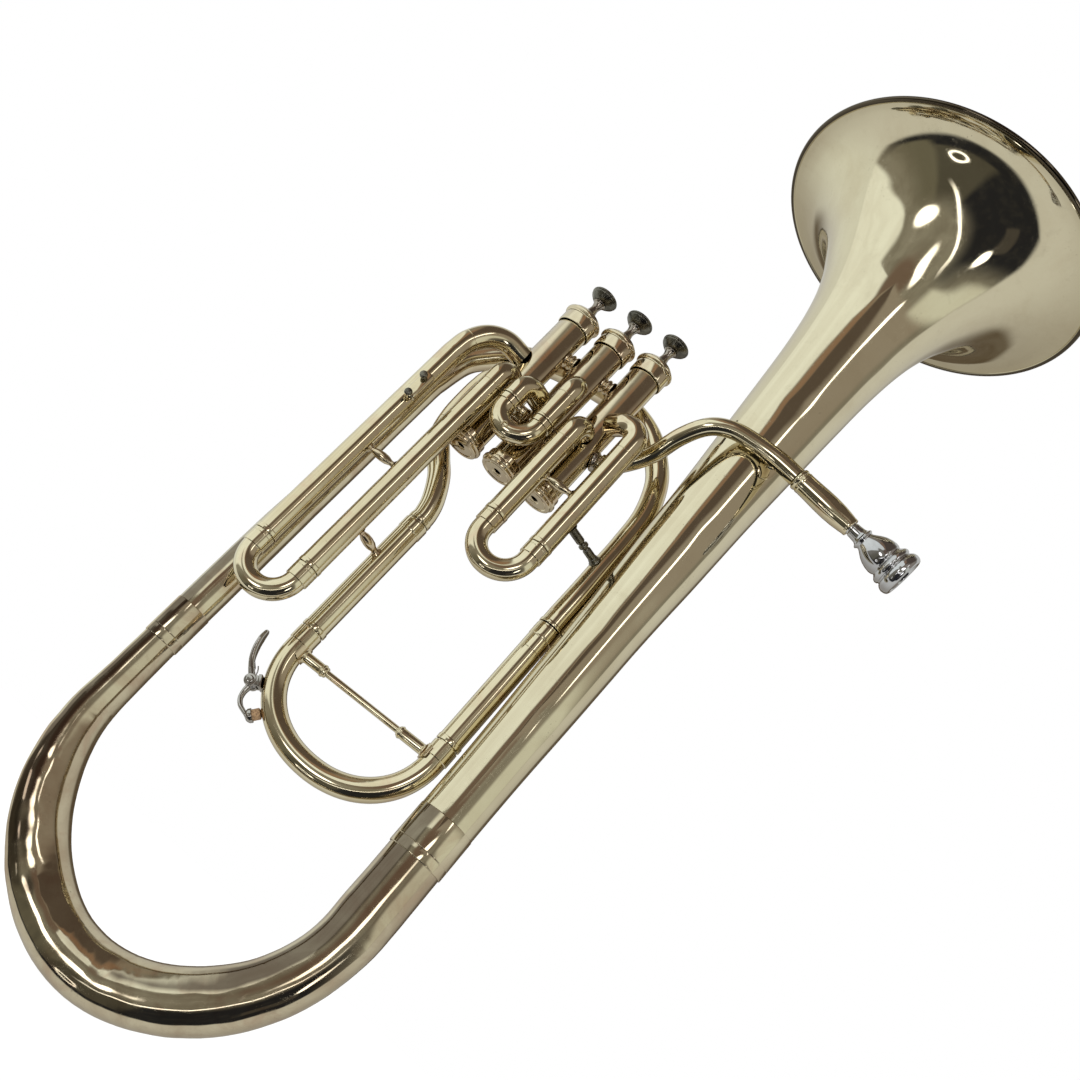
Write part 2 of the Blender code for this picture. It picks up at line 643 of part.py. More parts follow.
def build_braces():
    strut("slide_1_cross_brace", (SLIDE_1_LEFT, SLIDE_Y, -291), SLIDE_R,
          (SLIDE_1_RIGHT, SLIDE_Y, -291), SLIDE_R, foot_r=3.2, waist_r=2.3)
    strut("slide_3_cross_brace", (SLIDE_3_LEFT, SLIDE_Y, -338), SLIDE_R,
          (SLIDE_3_RIGHT, SLIDE_Y, -338), SLIDE_R, foot_r=3.2, waist_r=2.3)
    strut("slide_1_return_brace", (SLIDE_1_RIGHT, SLIDE_Y, -304.6), SLIDE_R + 0.1,
          (-25.6, 7.0, -304.6), 7.3, foot_r=3.4, waist_r=2.2)
    strut("slide_3_tuning_brace", (SLIDE_3_RIGHT, SLIDE_Y, -376), SLIDE_R,
          (TUNING_LEFT_X, TUNING_LEFT_Y, -376), MAIN_R, foot_r=3.8, waist_r=2.2)


def build_lyre_socket():
    """Block in front of the third slide's left leg, and its thumb screw."""
    x, y, z = SLIDE_3_LEFT + 4.0, SLIDE_Y - 9.6, -296.0
    half_width, half_height, screw_rise = 3.4, 9.0, 4.6
    outline = [(-half_width, -half_height), (half_width, -half_height),
               (half_width, half_height), (-half_width, half_height)]
    plate("lyre_socket", outline, [circle(0, screw_rise, 1.9, 8)],
          lambda u, v, w: (x + u, y + w, z + v), 4.8, brass)
    screw = [(0, 0), (1.5, 0), (1.5, 6.6), (3.0, 6.8), (3.2, 9.4), (2.6, 9.9), (0, 9.9)]
    lathe("lyre_screw", screw, (x, y + 1.8, z + screw_rise), FRONT, 10, nickel,
          origin=(x, y, z + screw_rise))


# ================================================================ main tuning slide
def tuning_centre(angle):
    """Centre line of the tuning bow, from 180 degrees at the left leg to 0 at the right."""
    c, s = math.cos(math.radians(angle)), math.sin(math.radians(angle))
    squareness = 0.94   # below 1 the bow is fuller than a half ellipse
    return Vector((TUNING_MID_X + TUNING_BOW_R * math.copysign(abs(c) ** squareness, c),
                   TUNING_LEFT_Y + (TUNING_RIGHT_Y - TUNING_LEFT_Y) * (0.5 + 0.5 * c),
                   TUNING_BOW_Z - TUNING_BOW_DROP * abs(s) ** squareness))


def build_tuning_bow():
    rise = MAIN_INSERT - SHOULDER_DROP
    path = [(TUNING_LEFT_X, TUNING_LEFT_Y, TUNING_LEFT_MOUTH + rise),
            (TUNING_LEFT_X, TUNING_LEFT_Y, -436)]
    path += [tuning_centre(angle) for angle in range(180, -1, -18)]
    path += [(TUNING_RIGHT_X, TUNING_RIGHT_Y, -437),
             (TUNING_RIGHT_X, TUNING_RIGHT_Y, TUNING_RIGHT_MOUTH + rise)]
    radii = u_slide_bands(path, MAIN_INSERT, MAIN_INSERT, MAIN_FERRULE,
                          MAIN_INNER_R, MAIN_FERRULE_R, MAIN_BOW_R)
    tube("tuning_slide_bow", path, radii, MAIN_INNER_BORE, origin=TUNING_ORIGIN)


def build_tuning_rod():
    """Turned rod across the bow's two legs."""
    start, end = between((TUNING_LEFT_X, TUNING_LEFT_Y, -441.0), MAIN_FERRULE_R,
                         (TUNING_RIGHT_X, TUNING_RIGHT_Y, -439.5), MAIN_FERRULE_R)
    h = (end - start).length
    profile = [(0, 0), (3.8, 0), (3.4, 0.9), (2.9, 1.4), (2.9, 14.0), (3.3, 14.4), (3.3, 15.8),
               (1.75, 16.2), (1.75, h - 17.0), (3.1, h - 16.6), (3.1, h - 15.2),
               (2.7, h - 14.8), (2.7, h - 1.4), (4.2, h - 1.2), (4.2, h), (0, h)]
    lathe("tuning_bow_rod", profile, start, end - start, 12, origin=TUNING_ORIGIN)


# ================================================================ water key
def build_water_key():
    """Sprung lever with a cork pad, on the left of the tuning slide bow."""
    angle = 150.0
    along = (tuning_centre(angle + 2) - tuning_centre(angle - 2)).normalized()
    outward = Vector((-along.z, 0, along.x)).normalized()
    across = Vector((0, 1, 0))
    pivot = tuning_centre(angle) + outward * 12.2

    def key_point(u, v, w):
        """u up along the bow, v outwards from the pivot, w across (+Y)."""
        return pivot + along * u + outward * v + across * w

    # saddle: a base block with two ears, bored for the pin; (across, outwards)
    saddle_outline = [(-4.6, -5.1), (4.6, -5.1), (4.6, 2.2), (2.9, 2.2), (2.9, -3.2),
                      (-2.9, -3.2), (-2.9, 2.2), (-4.6, 2.2)]
    saddle = plate("water_key_saddle", saddle_outline, [],
                   lambda u, v, w: key_point(w, v, u), 4.6, silver, origin=pivot)
    bore = lathe("cut_pin_bore", [(0, -8), (1.25, -8), (1.25, 8), (0, 8)], pivot, across, 12,
                 silver)
    add_boolean(saddle, "pin bore", 'DIFFERENCE', bore)
    pin = [(0, -5.6), (1.9, -5.6), (1.9, -5.0), (0.95, -5.0), (0.95, 5.2), (0, 5.2)]
    lathe("water_key_pin", pin, pivot, across, 10, silver, origin=pivot)

    # lever outline, (along, outwards) from the pivot
    lever = [(28.6, -1.4), (23.0, 1.9), (17.5, 3.4), (12.0, 3.9), (7.0, 3.3), (1.6, 2.3),
             (-1.6, 2.3), (-7.0, 4.4), (-13.0, 4.0), (-17.5, 1.2), (-20.5, -0.4),
             (-20.5, -2.2), (-16.0, -1.6), (-12.0, 1.6), (-7.2, 2.0), (-2.6, -0.6),
             (-2.0, -1.7), (0.0, -2.5), (2.0, -1.7), (2.6, 0.2), (7.0, 1.3), (12.0, 2.0),
             (17.5, 1.3), (22.4, -0.3), (28.0, -3.2)]
    plate("water_key_lever", lever, [circle(0, 0, 1.3, 12)], key_point, 4.2, silver,
          origin=pivot)

    # cork pad under the lever's short arm, aimed at the nearest point of the bow
    cork_top = key_point(-17.6, -2.3, 0)
    nearest = min((tuning_centre(90 + 0.5 * i) for i in range(120)),
                  key=lambda point: (point.xz - cork_top.xz).length)
    aim = Vector((nearest.x - cork_top.x, 0, nearest.z - cork_top.z))
    cork_end = aim.length - MAIN_BOW_R - 0.3
    lathe("water_key_cork", [(0, 0.35), (2.6, 0.35), (2.6, cork_end), (0, cork_end)],
          (cork_top.x, pivot.y, cork_top.z), aim, 12, cork, origin=pivot)

    # leaf of the return spring, under the lever's long arm
    leaf = [(16.0, 0.6), (11.0, 0.1), (6.6, -1.2), (5.0, -2.6)]
    tube("water_key_spring", [key_point(u, v, 0) for u, v in leaf], 0.35, None, steel,
         sides=4, origin=pivot)


# ================================================================ mouthpiece
def build_mouthpiece():
    # (radius, distance beyond the receiver's end): outside of shank and cup, rim, inside
    profile = [(2.2, -23.0), (3.6, -23.0), (3.95, 0.0), (4.5, 6.0), (5.7, 8.6), (6.9, 14.5),
               (9.2, 19.0), (9.5, 23.5), (11.5, 28.0), (11.7, 30.8), (12.8, 33.4),
               (12.5, 35.8), (11.2, 36.8), (9.6, 36.2), (8.6, 32.0), (8.0, 26.5),
               (5.5, 20.0), (2.0, 14.5)]
    base = RECEIVER_BASE + MOUTHPIECE_AXIS * RECEIVER_LENGTH
    lathe("mouthpiece", profile, base, MOUTHPIECE_AXIS, 16, silver, origin=base)


build_bell()
build_bow_ferrules()
build_bottom_bow()
build_branch()
build_return_tube()
build_tuning_tubes()
build_feed_tube()
build_leadpipe()
build_receiver()
build_leadpipe_saddle()
build_valves()
build_knuckles()
build_slide_1()
build_slide_2()
build_slide_3()
build_braces()
build_lyre_socket()
build_tuning_bow()
build_tuning_rod()
build_water_key()
build_mouthpiece()
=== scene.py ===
"""The look of an upright-bell alto horn: worn lacquered brass, silver mouthpiece and
water key, dark tarnished finger buttons, on a plain white floor."""
import math
import bpy
import bmesh
from mathutils import Matrix, Vector, noise

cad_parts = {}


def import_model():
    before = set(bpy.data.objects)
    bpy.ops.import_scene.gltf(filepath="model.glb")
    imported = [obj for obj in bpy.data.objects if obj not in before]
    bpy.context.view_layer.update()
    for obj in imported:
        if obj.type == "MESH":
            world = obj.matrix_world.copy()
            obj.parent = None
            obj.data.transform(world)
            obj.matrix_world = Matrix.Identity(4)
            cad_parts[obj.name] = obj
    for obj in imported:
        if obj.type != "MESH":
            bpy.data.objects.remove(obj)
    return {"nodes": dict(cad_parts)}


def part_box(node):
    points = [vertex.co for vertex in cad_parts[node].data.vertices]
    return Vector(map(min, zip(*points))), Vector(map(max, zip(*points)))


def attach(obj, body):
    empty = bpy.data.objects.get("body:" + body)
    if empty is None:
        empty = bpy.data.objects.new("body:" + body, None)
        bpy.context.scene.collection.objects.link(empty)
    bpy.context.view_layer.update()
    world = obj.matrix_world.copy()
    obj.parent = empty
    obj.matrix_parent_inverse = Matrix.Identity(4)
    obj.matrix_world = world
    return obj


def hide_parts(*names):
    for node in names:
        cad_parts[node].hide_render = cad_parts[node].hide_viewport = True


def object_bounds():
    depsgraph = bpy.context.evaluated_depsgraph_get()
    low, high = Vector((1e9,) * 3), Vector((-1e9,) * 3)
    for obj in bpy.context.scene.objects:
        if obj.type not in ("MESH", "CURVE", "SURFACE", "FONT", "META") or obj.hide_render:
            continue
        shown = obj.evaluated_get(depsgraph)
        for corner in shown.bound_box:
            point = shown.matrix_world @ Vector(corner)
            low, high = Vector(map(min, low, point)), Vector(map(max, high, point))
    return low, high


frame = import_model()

CAD_LO, CAD_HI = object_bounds()
scene = bpy.context.scene

# ------------------------------------------------------------------ layout
# Millimetres in the horn's own layout: bell axis x = 0, y = 0, bell rim plane z = 0.
_lo, _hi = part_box("bell")
BELL_X, BELL_Y, RIM_Z = (_lo.x + _hi.x) / 2, (_lo.y + _hi.y) / 2, _hi.z


def V(x, y, z):
    return Vector((x, y, z))


def world(p):
    return Vector((BELL_X + p.x / 1000, BELL_Y + p.y / 1000, RIM_Z + p.z / 1000))


LEG = 172.0
BOW_Z = -521.5
FER_TOP, FER_BOT = -459.5, -483.0
SLIDE_R, SLIDE_BORE, INNER_R = 6.6, 6.1, 5.75
MAIN_R, MAIN_BORE, MAIN_INNER_R = 6.75, 6.25, 5.9
SY, VY = -20.0, -2.0
VX = {1: -77.6, 2: -103.8, 3: -130.0}
CASING_R = 9.9
CASING_TOP, CASING_BOTTOM = -191.2, -295.6
CAP_TOP, CAP_BOTTOM = -188.6, -298.6
BUTTON_Z = -167.2
UP = V(0, 0, 1)

# ------------------------------------------------------------------ paths


def fillet(points, radii, step=5.0):
    """A polyline with its inner corners rounded by arcs."""
    out = [points[0].copy()]
    for i in range(1, len(points) - 1):
        a, b, c = points[i - 1], points[i], points[i + 1]
        u, v = (a - b).normalized(), (c - b).normalized()
        turn = math.pi - u.angle(v)
        r = radii[i - 1]
        if turn < 1e-4 or r <= 0:
            out.append(b.copy())
            continue
        p0 = b + u * (r * math.tan(turn / 2))
        centre = b + (u + v).normalized() * (r / math.cos(turn / 2))
        n = max(3, int(math.ceil(math.degrees(turn) / step)))
        axis = u.cross(v).normalized()
        for k in range(n + 1):
            out.append(centre + Matrix.Rotation(-turn * k / n, 3, axis) @ (p0 - centre))
    out.append(points[-1].copy())
    clean = [out[0]]
    for p in out[1:]:
        if (p - clean[-1]).length > 1e-3:
            clean.append(p)
    return clean


def smooth(points, n=8):
    """Catmull-Rom curve through the points."""
    pts = [points[0] * 2 - points[1]] + list(points) + [points[-1] * 2 - points[-2]]
    out = []
    for i in range(1, len(pts) - 2):
        p0, p1, p2, p3 = pts[i - 1], pts[i], pts[i + 1], pts[i + 2]
        for k in range(n):
            t = k / n
            out.append(0.5 * ((2 * p1) + (p2 - p0) * t + (2 * p0 - 5 * p1 + 4 * p2 - p3) * t * t
                              + (3 * p1 - p0 - 3 * p2 + p3) * t * t * t))
    out.append(points[-1].copy())
    return out


def lengths(path):
    s = [0.0]
    for a, b in zip(path, path[1:]):
        s.append(s[-1] + (b - a).length)
    return s


def table(values, s):
    if s <= values[0][0]:
        return values[0][1]
    for (a, va), (b, vb) in zip(values, values[1:]):
        if s <= b:
            return va + (vb - va) * (s - a) / max(b - a, 1e-9)
    return values[-1][1]


def curve_table(values):
    """Monotone smooth interpolation through (position, value) pairs."""
    xs = [v[0] for v in values]
    ys = [v[1] for v in values]
    n = len(xs)
    d = [(ys[i + 1] - ys[i]) / (xs[i + 1] - xs[i]) for i in range(n - 1)]
    m = [d[0]] + [0.0 if d[i - 1] * d[i] <= 0 else 2 * d[i - 1] * d[i] / (d[i - 1] + d[i]) for i in range(1, n - 1)] + [d[-1]]

    def f(x):
        if x <= xs[0]:
            return ys[0]
        if x >= xs[-1]:
            return ys[-1]
        i = 0
        while xs[i + 1] < x:
            i += 1
        h = xs[i + 1] - xs[i]
        t = (x - xs[i]) / h
        return ((2 * t ** 3 - 3 * t * t + 1) * ys[i] + (t ** 3 - 2 * t * t + t) * h * m[i]
                + (-2 * t ** 3 + 3 * t * t) * ys[i + 1] + (t ** 3 - t * t) * h * m[i + 1])
    return f


# ------------------------------------------------------------------ mesh building
def add(name, verts, faces, mat, body, nodes=(), sharp=32.0, uvs=None):
    me = bpy.data.meshes.new(name)
    me.from_pydata([tuple(world(p)) for p in verts], [], faces)
    bm = bmesh.new()
    bm.from_mesh(me)
    bmesh.ops.remove_doubles(bm, verts=bm.verts, dist=2e-7)
    bmesh.ops.recalc_face_normals(bm, faces=bm.faces)
    if bm.calc_volume(signed=True) < 0:
        bmesh.ops.reverse_faces(bm, faces=bm.faces)
    bm.to_mesh(me)
    bm.free()
    me.shade_smooth()
    me.set_sharp_from_angle(angle=math.radians(sharp))
    ob = bpy.data.objects.new(name, me)
    scene.collection.objects.link(ob)
    me.materials.append(mat)
    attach(ob, body)
    if nodes:
        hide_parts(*nodes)
    return ob


def resample(path, ds):
    s = lengths(path)
    return s


def sweep(path, radius, n=36, inner=None, ds=2.0, marks=(), s0=None, s1=None, dent=None):
    """Vertices and faces of a pipe or rod swept along a path. radius and inner are
    functions of distance; marks are extra distances that get a ring of their own."""
    s_list = lengths(path)
    total = s_list[-1]
    s0 = 0.0 if s0 is None else s0
    s1 = total if s1 is None else s1
    want = set()
    k = max(1, int(math.ceil((s1 - s0) / ds)))
    for i in range(k + 1):
        want.add(round(s0 + (s1 - s0) * i / k, 4))
    for m in marks:
        if s0 < m < s1:
            want.add(round(m, 4))
    for m in s_list:
        if s0 < m < s1:
            want.add(round(m, 4))
    want = sorted(want)
    keep = [want[0]]
    markset = set(round(m, 4) for m in marks)
    for s in want[1:]:
        if s - keep[-1] > 0.35 or s in markset:
            if s - keep[-1] > 0.03:
                keep.append(s)
    keep[-1] = s1
    pts, j = [], 0
    for s in keep:
        while j < len(path) - 2 and s_list[j + 1] < s:
            j += 1
        f = (s - s_list[j]) / (s_list[j + 1] - s_list[j])
        pts.append(path[j].lerp(path[j + 1], f))
    tang = []
    for i in range(len(pts)):
        tang.append((pts[min(i + 1, len(pts) - 1)] - pts[max(i - 1, 0)]).normalized())
    ref = V(0, 1, 0) if abs(tang[0].y) < 0.9 else V(1, 0, 0)
    u = (ref - tang[0] * ref.dot(tang[0])).normalized()
    fr = []
    for t in tang:
        u = (u - t * u.dot(t)).normalized()
        fr.append((u, t.cross(u)))
    verts, faces = [], []

    def skin(fn, use_dent):
        base = len(verts)
        for p, (a, b), s in zip(pts, fr, keep):
            r = fn(s)
            for k in range(n):
                q = 2 * math.pi * k / n
                d = a * math.cos(q) + b * math.sin(q)
                rr = r + (dent(p + d * r, s, q) if (dent and use_dent) else 0.0)
                verts.append(p + d * rr)
        return base
    b0 = skin(radius, True)
    m = len(pts)
    for i in range(m - 1):
        for k in range(n):
            k2 = (k + 1) % n
            faces.append((b0 + i * n + k, b0 + i * n + k2, b0 + (i + 1) * n + k2, b0 + (i + 1) * n + k))
    if inner is None:
        faces.append(tuple(b0 + k for k in range(n))[::-1])
        faces.append(tuple(b0 + (m - 1) * n + k for k in range(n)))
    else:
        b1 = skin(inner, False)
        for i in range(m - 1):
            for k in range(n):
                k2 = (k + 1) % n
                faces.append((b1 + i * n + k2, b1 + i * n + k, b1 + (i + 1) * n + k, b1 + (i + 1) * n + k2))
        for k in range(n):
            k2 = (k + 1) % n
            faces.append((b0 + k2, b0 + k, b1 + k, b1 + k2))
            e0, e1 = b0 + (m - 1) * n, b1 + (m - 1) * n
            faces.append((e0 + k, e0 + k2, e1 + k2, e1 + k))
    return verts, faces


def banded(base, bands):
    """Adds raised bands (s0, s1, height) with soft edges, or grooves with a negative
    height, to a radius function. Returns the function and its marks."""
    marks = []
    for a, b, h in bands:
        e = min(0.35, (b - a) / 2.01)
        marks += [a, a + e * 0.35, a + e, b - e, b - e * 0.35, b]

    def f(s):
        r = base(s)
        add_up = 0.0
        for a, b, h in bands:
            e = min(0.35, (b - a) / 2.01)
            if a < s < b:
                t = min(1.0, min(s - a, b - s) / e)
                add_up += h * math.sqrt(max(0.0, 1 - (1 - t) ** 2))
        return r + add_up
    return f, marks


def pipe(name, path, base, mat, body, nodes=(), bands=(), n=36, inner=None, ds=2.0, sharp=40.0, dent=None):
    base_fn = base if callable(base) else (lambda s, b=base: b)
    fn, marks = banded(base_fn, bands)
    inner_fn = None if inner is None else (inner if callable(inner) else (lambda s, b=inner: b))
    v, f = sweep(path, fn, n=n, inner=inner_fn, ds=ds, marks=marks, dent=dent)
    return add(name, v, f, mat, body, nodes, sharp=sharp)


def lathe_mesh(profile, base, axis, n=64):
    axis = axis.normalized()
    ref = V(0, 1, 0) if abs(axis.y) < 0.9 else V(1, 0, 0)
    u = (ref - axis * ref.dot(axis)).normalized()
    v = axis.cross(u)
    verts, rows = [], []
    for r, h in profile:
        if r < 1e-6:
            rows.append([len(verts)])
            verts.append(base + axis * h)
        else:
            rows.append(list(range(len(verts), len(verts) + n)))
            for k in range(n):
                a = 2 * math.pi * k / n
                verts.append(base + axis * h + u * (r * math.cos(a)) + v * (r * math.sin(a)))
    faces = []
    m = len(rows)
    for i in range(m):
        a, b = rows[i], rows[(i + 1) % m]
        if len(a) == 1 and len(b) == 1:
            continue
        for k in range(n):
            k2 = (k + 1) % n
            if len(a) == 1:
                faces.append((a[0], b[k], b[k2]))
            elif len(b) == 1:
                faces.append((a[k], b[0], a[k2]))
            else:
                faces.append((a[k], b[k], b[k2], a[k2]))
    return verts, faces


def rounded(profile, r=0.25, steps=3):
    """Rounds the corners of a closed (radius, height) profile, leaving poles alone."""
    out = []
    n = len(profile)
    for i, (x, y) in enumerate(profile):
        p = Vector((x, y))
        if x < 1e-6:
            out.append((x, y))
            continue
        a = Vector(profile[i - 1]) - p
        b = Vector(profile[(i + 1) % n]) - p
        la, lb = a.length, b.length
        if la < 1e-6 or lb < 1e-6:
            out.append((x, y))
            continue
        ang = a.angle(b)
        if ang > math.radians(165):
            out.append((x, y))
            continue
        d = min(r, la * 0.45, lb * 0.45)
        p0, p1 = p + a.normalized() * d, p + b.normalized() * d
        for k in range(steps + 1):
            t = k / steps
            q = p0.lerp(p, t).lerp(p.lerp(p1, t), t)
            out.append((max(q.x, 1e-4), q.y))
    return out


def turned(name, profile, base, axis, mat, body, nodes=(), n=64, r=0.25, steps=3, sharp=40.0):
    v, f = lathe_mesh(rounded(profile, r, steps) if r else profile, base, axis, n)
    return add(name, v, f, mat, body, nodes, sharp=sharp)


# ------------------------------------------------------------------ node helpers
class Nodes:
    """Small shorthand for building node trees."""

    def __init__(self, tree):
        self.t = tree
        self.count = 0

    def new(self, kind, **props):
        n = self.t.nodes.new(kind)
        n.location = (200 * (self.count % 12), -160 * (self.count // 12))
        self.count += 1
        for k, v in props.items():
            setattr(n, k, v)
        return n

    def plug(self, socket, value):
        if value is None:
            return
        if isinstance(value, bpy.types.NodeSocket):
            self.t.links.new(value, socket)
        else:
            socket.default_value = value

    def m(self, op, a, b=None, c=None, clamp=False):
        n = self.new("ShaderNodeMath", operation=op)
        n.use_clamp = clamp
        for i, x in enumerate((a, b, c)):
            if x is not None:
                self.plug(n.inputs[i], x)
        return n.outputs[0]

    def dot(self, a, b):
        n = self.new("ShaderNodeVectorMath", operation="DOT_PRODUCT")
        self.plug(n.inputs[0], a)
        self.plug(n.inputs[1], b)
        return n.outputs["Value"]

    def vscale(self, a, s):
        n = self.new("ShaderNodeVectorMath", operation="MULTIPLY")
        self.plug(n.inputs[0], a)
        self.plug(n.inputs[1], s)
        return n.outputs[0]

    def step(self, x, lo, hi, a=0.0, b=1.0):
        n = self.new("ShaderNodeMapRange", interpolation_type="SMOOTHSTEP")
        self.plug(n.inputs["Value"], x)
        self.plug(n.inputs["From Min"], lo)
        self.plug(n.inputs["From Max"], hi)
        self.plug(n.inputs["To Min"], a)
        self.plug(n.inputs["To Max"], b)
        return n.outputs[0]

    def mix(self, fac, a, b, blend="MIX"):
        n = self.new("ShaderNodeMix", data_type="RGBA", blend_type=blend)
        self.plug(n.inputs[0], fac)
        for sock, x in ((n.inputs[6], a), (n.inputs[7], b)):
            self.plug(sock, (*x, 1.0) if isinstance(x, tuple) and len(x) == 3 else x)
        return n.outputs[2]

    def noise(self, vec, scale, detail=4.0, rough=0.5, dist=0.0):
        n = self.new("ShaderNodeTexNoise")
        self.plug(n.inputs["Vector"], vec)
        n.inputs["Scale"].default_value = scale
        n.inputs["Detail"].default_value = detail
        n.inputs["Roughness"].default_value = rough
        n.inputs["Distortion"].default_value = dist
        return n.outputs[0]

    def voronoi(self, vec, scale, feature="F1", rand=1.0):
        n = self.new("ShaderNodeTexVoronoi", feature=feature)
        self.plug(n.inputs["Vector"], vec)
        n.inputs["Scale"].default_value = scale
        n.inputs["Randomness"].default_value = rand
        return n


# ------------------------------------------------------------------ the room, as the metal sees it
# The horn lies towards a pale table behind it (+Y side); the room is on the -Y side.
TABLE_N = Vector((0.0, -0.990, 0.141)).normalized()
E_X = Vector((1.0, 0.0, 0.0))
E_Z = E_X.cross(TABLE_N)


def room_dir(az, el):
    a, e = math.radians(az), math.radians(el)
    return (E_X * (math.cos(a) * math.cos(e)) + E_Z * (math.sin(a) * math.cos(e)) + TABLE_N * math.sin(e)).normalized()


def build_world():
    w = bpy.data.worlds.new("studio")
    scene.world = w
    w.use_nodes = True
    t = w.node_tree
    t.nodes.clear()
    N = Nodes(t)
    geo = N.new("ShaderNodeNewGeometry")
    inc = geo.outputs["Incoming"]
    d = N.vscale(inc, (-1.0, -1.0, -1.0))
    u = N.dot(d, tuple(TABLE_N))
    ex, ez = N.dot(d, tuple(E_X)), N.dot(d, tuple(E_Z))
    el = N.m("MULTIPLY", N.m("ARCSINE", u), 57.29578)
    az = N.m("MULTIPLY", N.m("ARCTAN2", ez, ex), 57.29578)
    clutter = N.noise(d, 3.2, 5.0, 0.62, 0.6)
    fine = N.noise(d, 9.0, 4.0, 0.6, 0.3)
    # plain room: warm olive, darker towards the photographer's side
    room = N.mix(N.step(clutter, 0.35, 0.66), (0.25, 0.235, 0.20), (0.34, 0.33, 0.29))
    dark = N.m("MULTIPLY", N.step(az, 4.0, 26.0), N.step(az, 152.0, 128.0))
    low = N.m("MULTIPLY", N.step(el, 58.0, 40.0), 1.0)
    darkness = N.m("MULTIPLY", dark, low)
    gloom = N.mix(N.step(fine, 0.46, 0.66), (0.024, 0.025, 0.030), (0.036, 0.036, 0.038))
    gloom = N.mix(N.m("MULTIPLY", N.step(az, 84.0, 90.0), N.step(el, 6.0, 9.0)), gloom, (0.105, 0.100, 0.082))
    gloom = N.mix(N.m("MULTIPLY", N.step(az, 116.0, 122.0), N.step(el, 2.0, 5.0)), gloom, (0.185, 0.178, 0.140))
    gloom = N.mix(N.m("MULTIPLY", N.m("MULTIPLY", N.step(az, 30.0, 33.0), N.step(az, 52.0, 49.0)), N.m("MULTIPLY", N.step(el, 12.0, 14.0), N.step(el, 24.0, 22.0))), gloom, (0.085, 0.078, 0.070))
    room = N.mix(darkness, room, gloom)
    # brown ceiling overhead
    room = N.mix(N.step(el, 70.0, 80.0), room, (0.21, 0.155, 0.125))
    # orange-brown cupboard high on the left
    left_az = N.m("ABSOLUTE", N.m("SUBTRACT", N.m("ABSOLUTE", az), 180.0))
    orange = N.m("MULTIPLY", N.m("MULTIPLY", N.step(az, -142.0, -137.0), N.step(az, -120.0, -128.0)), N.m("MULTIPLY", N.step(el, 30.0, 44.0), N.step(el, 80.0, 70.0)))
    # bright wall at the far left
    spread = N.m("MULTIPLY", N.step(az, 4.0, -4.0), 14.0)
    wall = N.m("MULTIPLY", N.step(left_az, N.m("ADD", spread, 27.0), N.m("ADD", spread, 22.0)), N.m("MULTIPLY", N.step(el, -6.0, 0.0), N.step(el, N.m("ADD", N.m("MULTIPLY", spread, 1.45), 57.0), N.m("ADD", N.m("MULTIPLY", spread, 1.5), 50.0))))
    wall_c = N.mix(N.step(clutter, 0.35, 0.65), (1.02, 1.07, 1.04), (1.12, 1.19, 1.17))
    room = N.mix(wall, room, wall_c)
    # bell mouth side, above the rim
    far = N.m("MULTIPLY", N.step(az, -139.0, -134.0), N.step(az, -2.0, -16.0))
    far_c = N.mix(N.step(az, -64.0, -40.0), (0.125, 0.098, 0.080), (0.37, 0.33, 0.285))
    far_c = N.mix(N.step(az, -118.0, -132.0), far_c, (0.34, 0.29, 0.235))
    room = N.mix(N.m("MULTIPLY", far, N.step(el, 2.0, 16.0)), room, far_c)
    room = N.mix(N.m("MULTIPLY", orange, 0.75), room, (0.34, 0.20, 0.125))
    # pale doorway to the right
    door = N.m("MULTIPLY", N.m("MULTIPLY", N.step(az, -17.0, -9.0), N.step(az, 10.0, 3.0)), N.m("MULTIPLY", N.step(el, -4.0, 1.0), N.step(el, 50.0, 38.0)))
    room = N.mix(door, room, (0.80, 0.83, 0.76))
    # table
    tab = N.mix(N.step(el, -12.0, -75.0), (0.76, 0.77, 0.745), (0.44, 0.42, 0.38))
    tab = N.mix(N.m("MULTIPLY", N.step(left_az, 50.0, 12.0), N.step(el, -60.0, -20.0)), tab, (0.93, 0.98, 0.95))
    under = N.m("MULTIPLY", N.m("MULTIPLY", N.step(az, -162.0, -142.0), N.step(az, -8.0, -30.0)), N.step(el, -40.0, -54.0))
    tab = N.mix(under, tab, (0.12, 0.092, 0.060))
    tab = N.mix(N.step(clutter, 0.3, 0.75, 0.0, 0.10), tab, (0.62, 0.60, 0.54))
    col = N.mix(N.step(el, -3.5, 0.5), tab, room)

    def patch(az0, el0, along, across, turn, strength, colour=(1.0, 1.0, 1.0), soft=0.25, box=False):
        """A lamp or window: an ellipse or a bar on the sky, sizes in degrees."""
        nonlocal col
        c = room_dir(az0, el0)
        east = (room_dir(az0 + 1, el0) - room_dir(az0 - 1, el0)).normalized()
        north = c.cross(east) * -1 if c.cross(east).dot(TABLE_N) < 0 else c.cross(east)
        q = math.radians(turn)
        t1 = east * math.cos(q) + north.normalized() * math.sin(q)
        t2 = north.normalized() * math.cos(q) - east * math.sin(q)
        x = N.m("DIVIDE", N.dot(d, tuple(t1)), math.sin(math.radians(along)))
        y = N.m("DIVIDE", N.dot(d, tuple(t2)), math.sin(math.radians(across)))
        if box:
            r = N.m("MAXIMUM", N.m("ABSOLUTE", x), N.m("ABSOLUTE", y))
        else:
            r = N.m("SQRT", N.m("ADD", N.m("MULTIPLY", x, x), N.m("MULTIPLY", y, y)))
        f = N.m("MULTIPLY", N.step(r, 1.0 + soft, 1.0 - soft), N.step(N.dot(d, tuple(c)), 0.0, 0.1))
        col = N.mix(f, col, tuple(strength * k for k in colour))
        return f

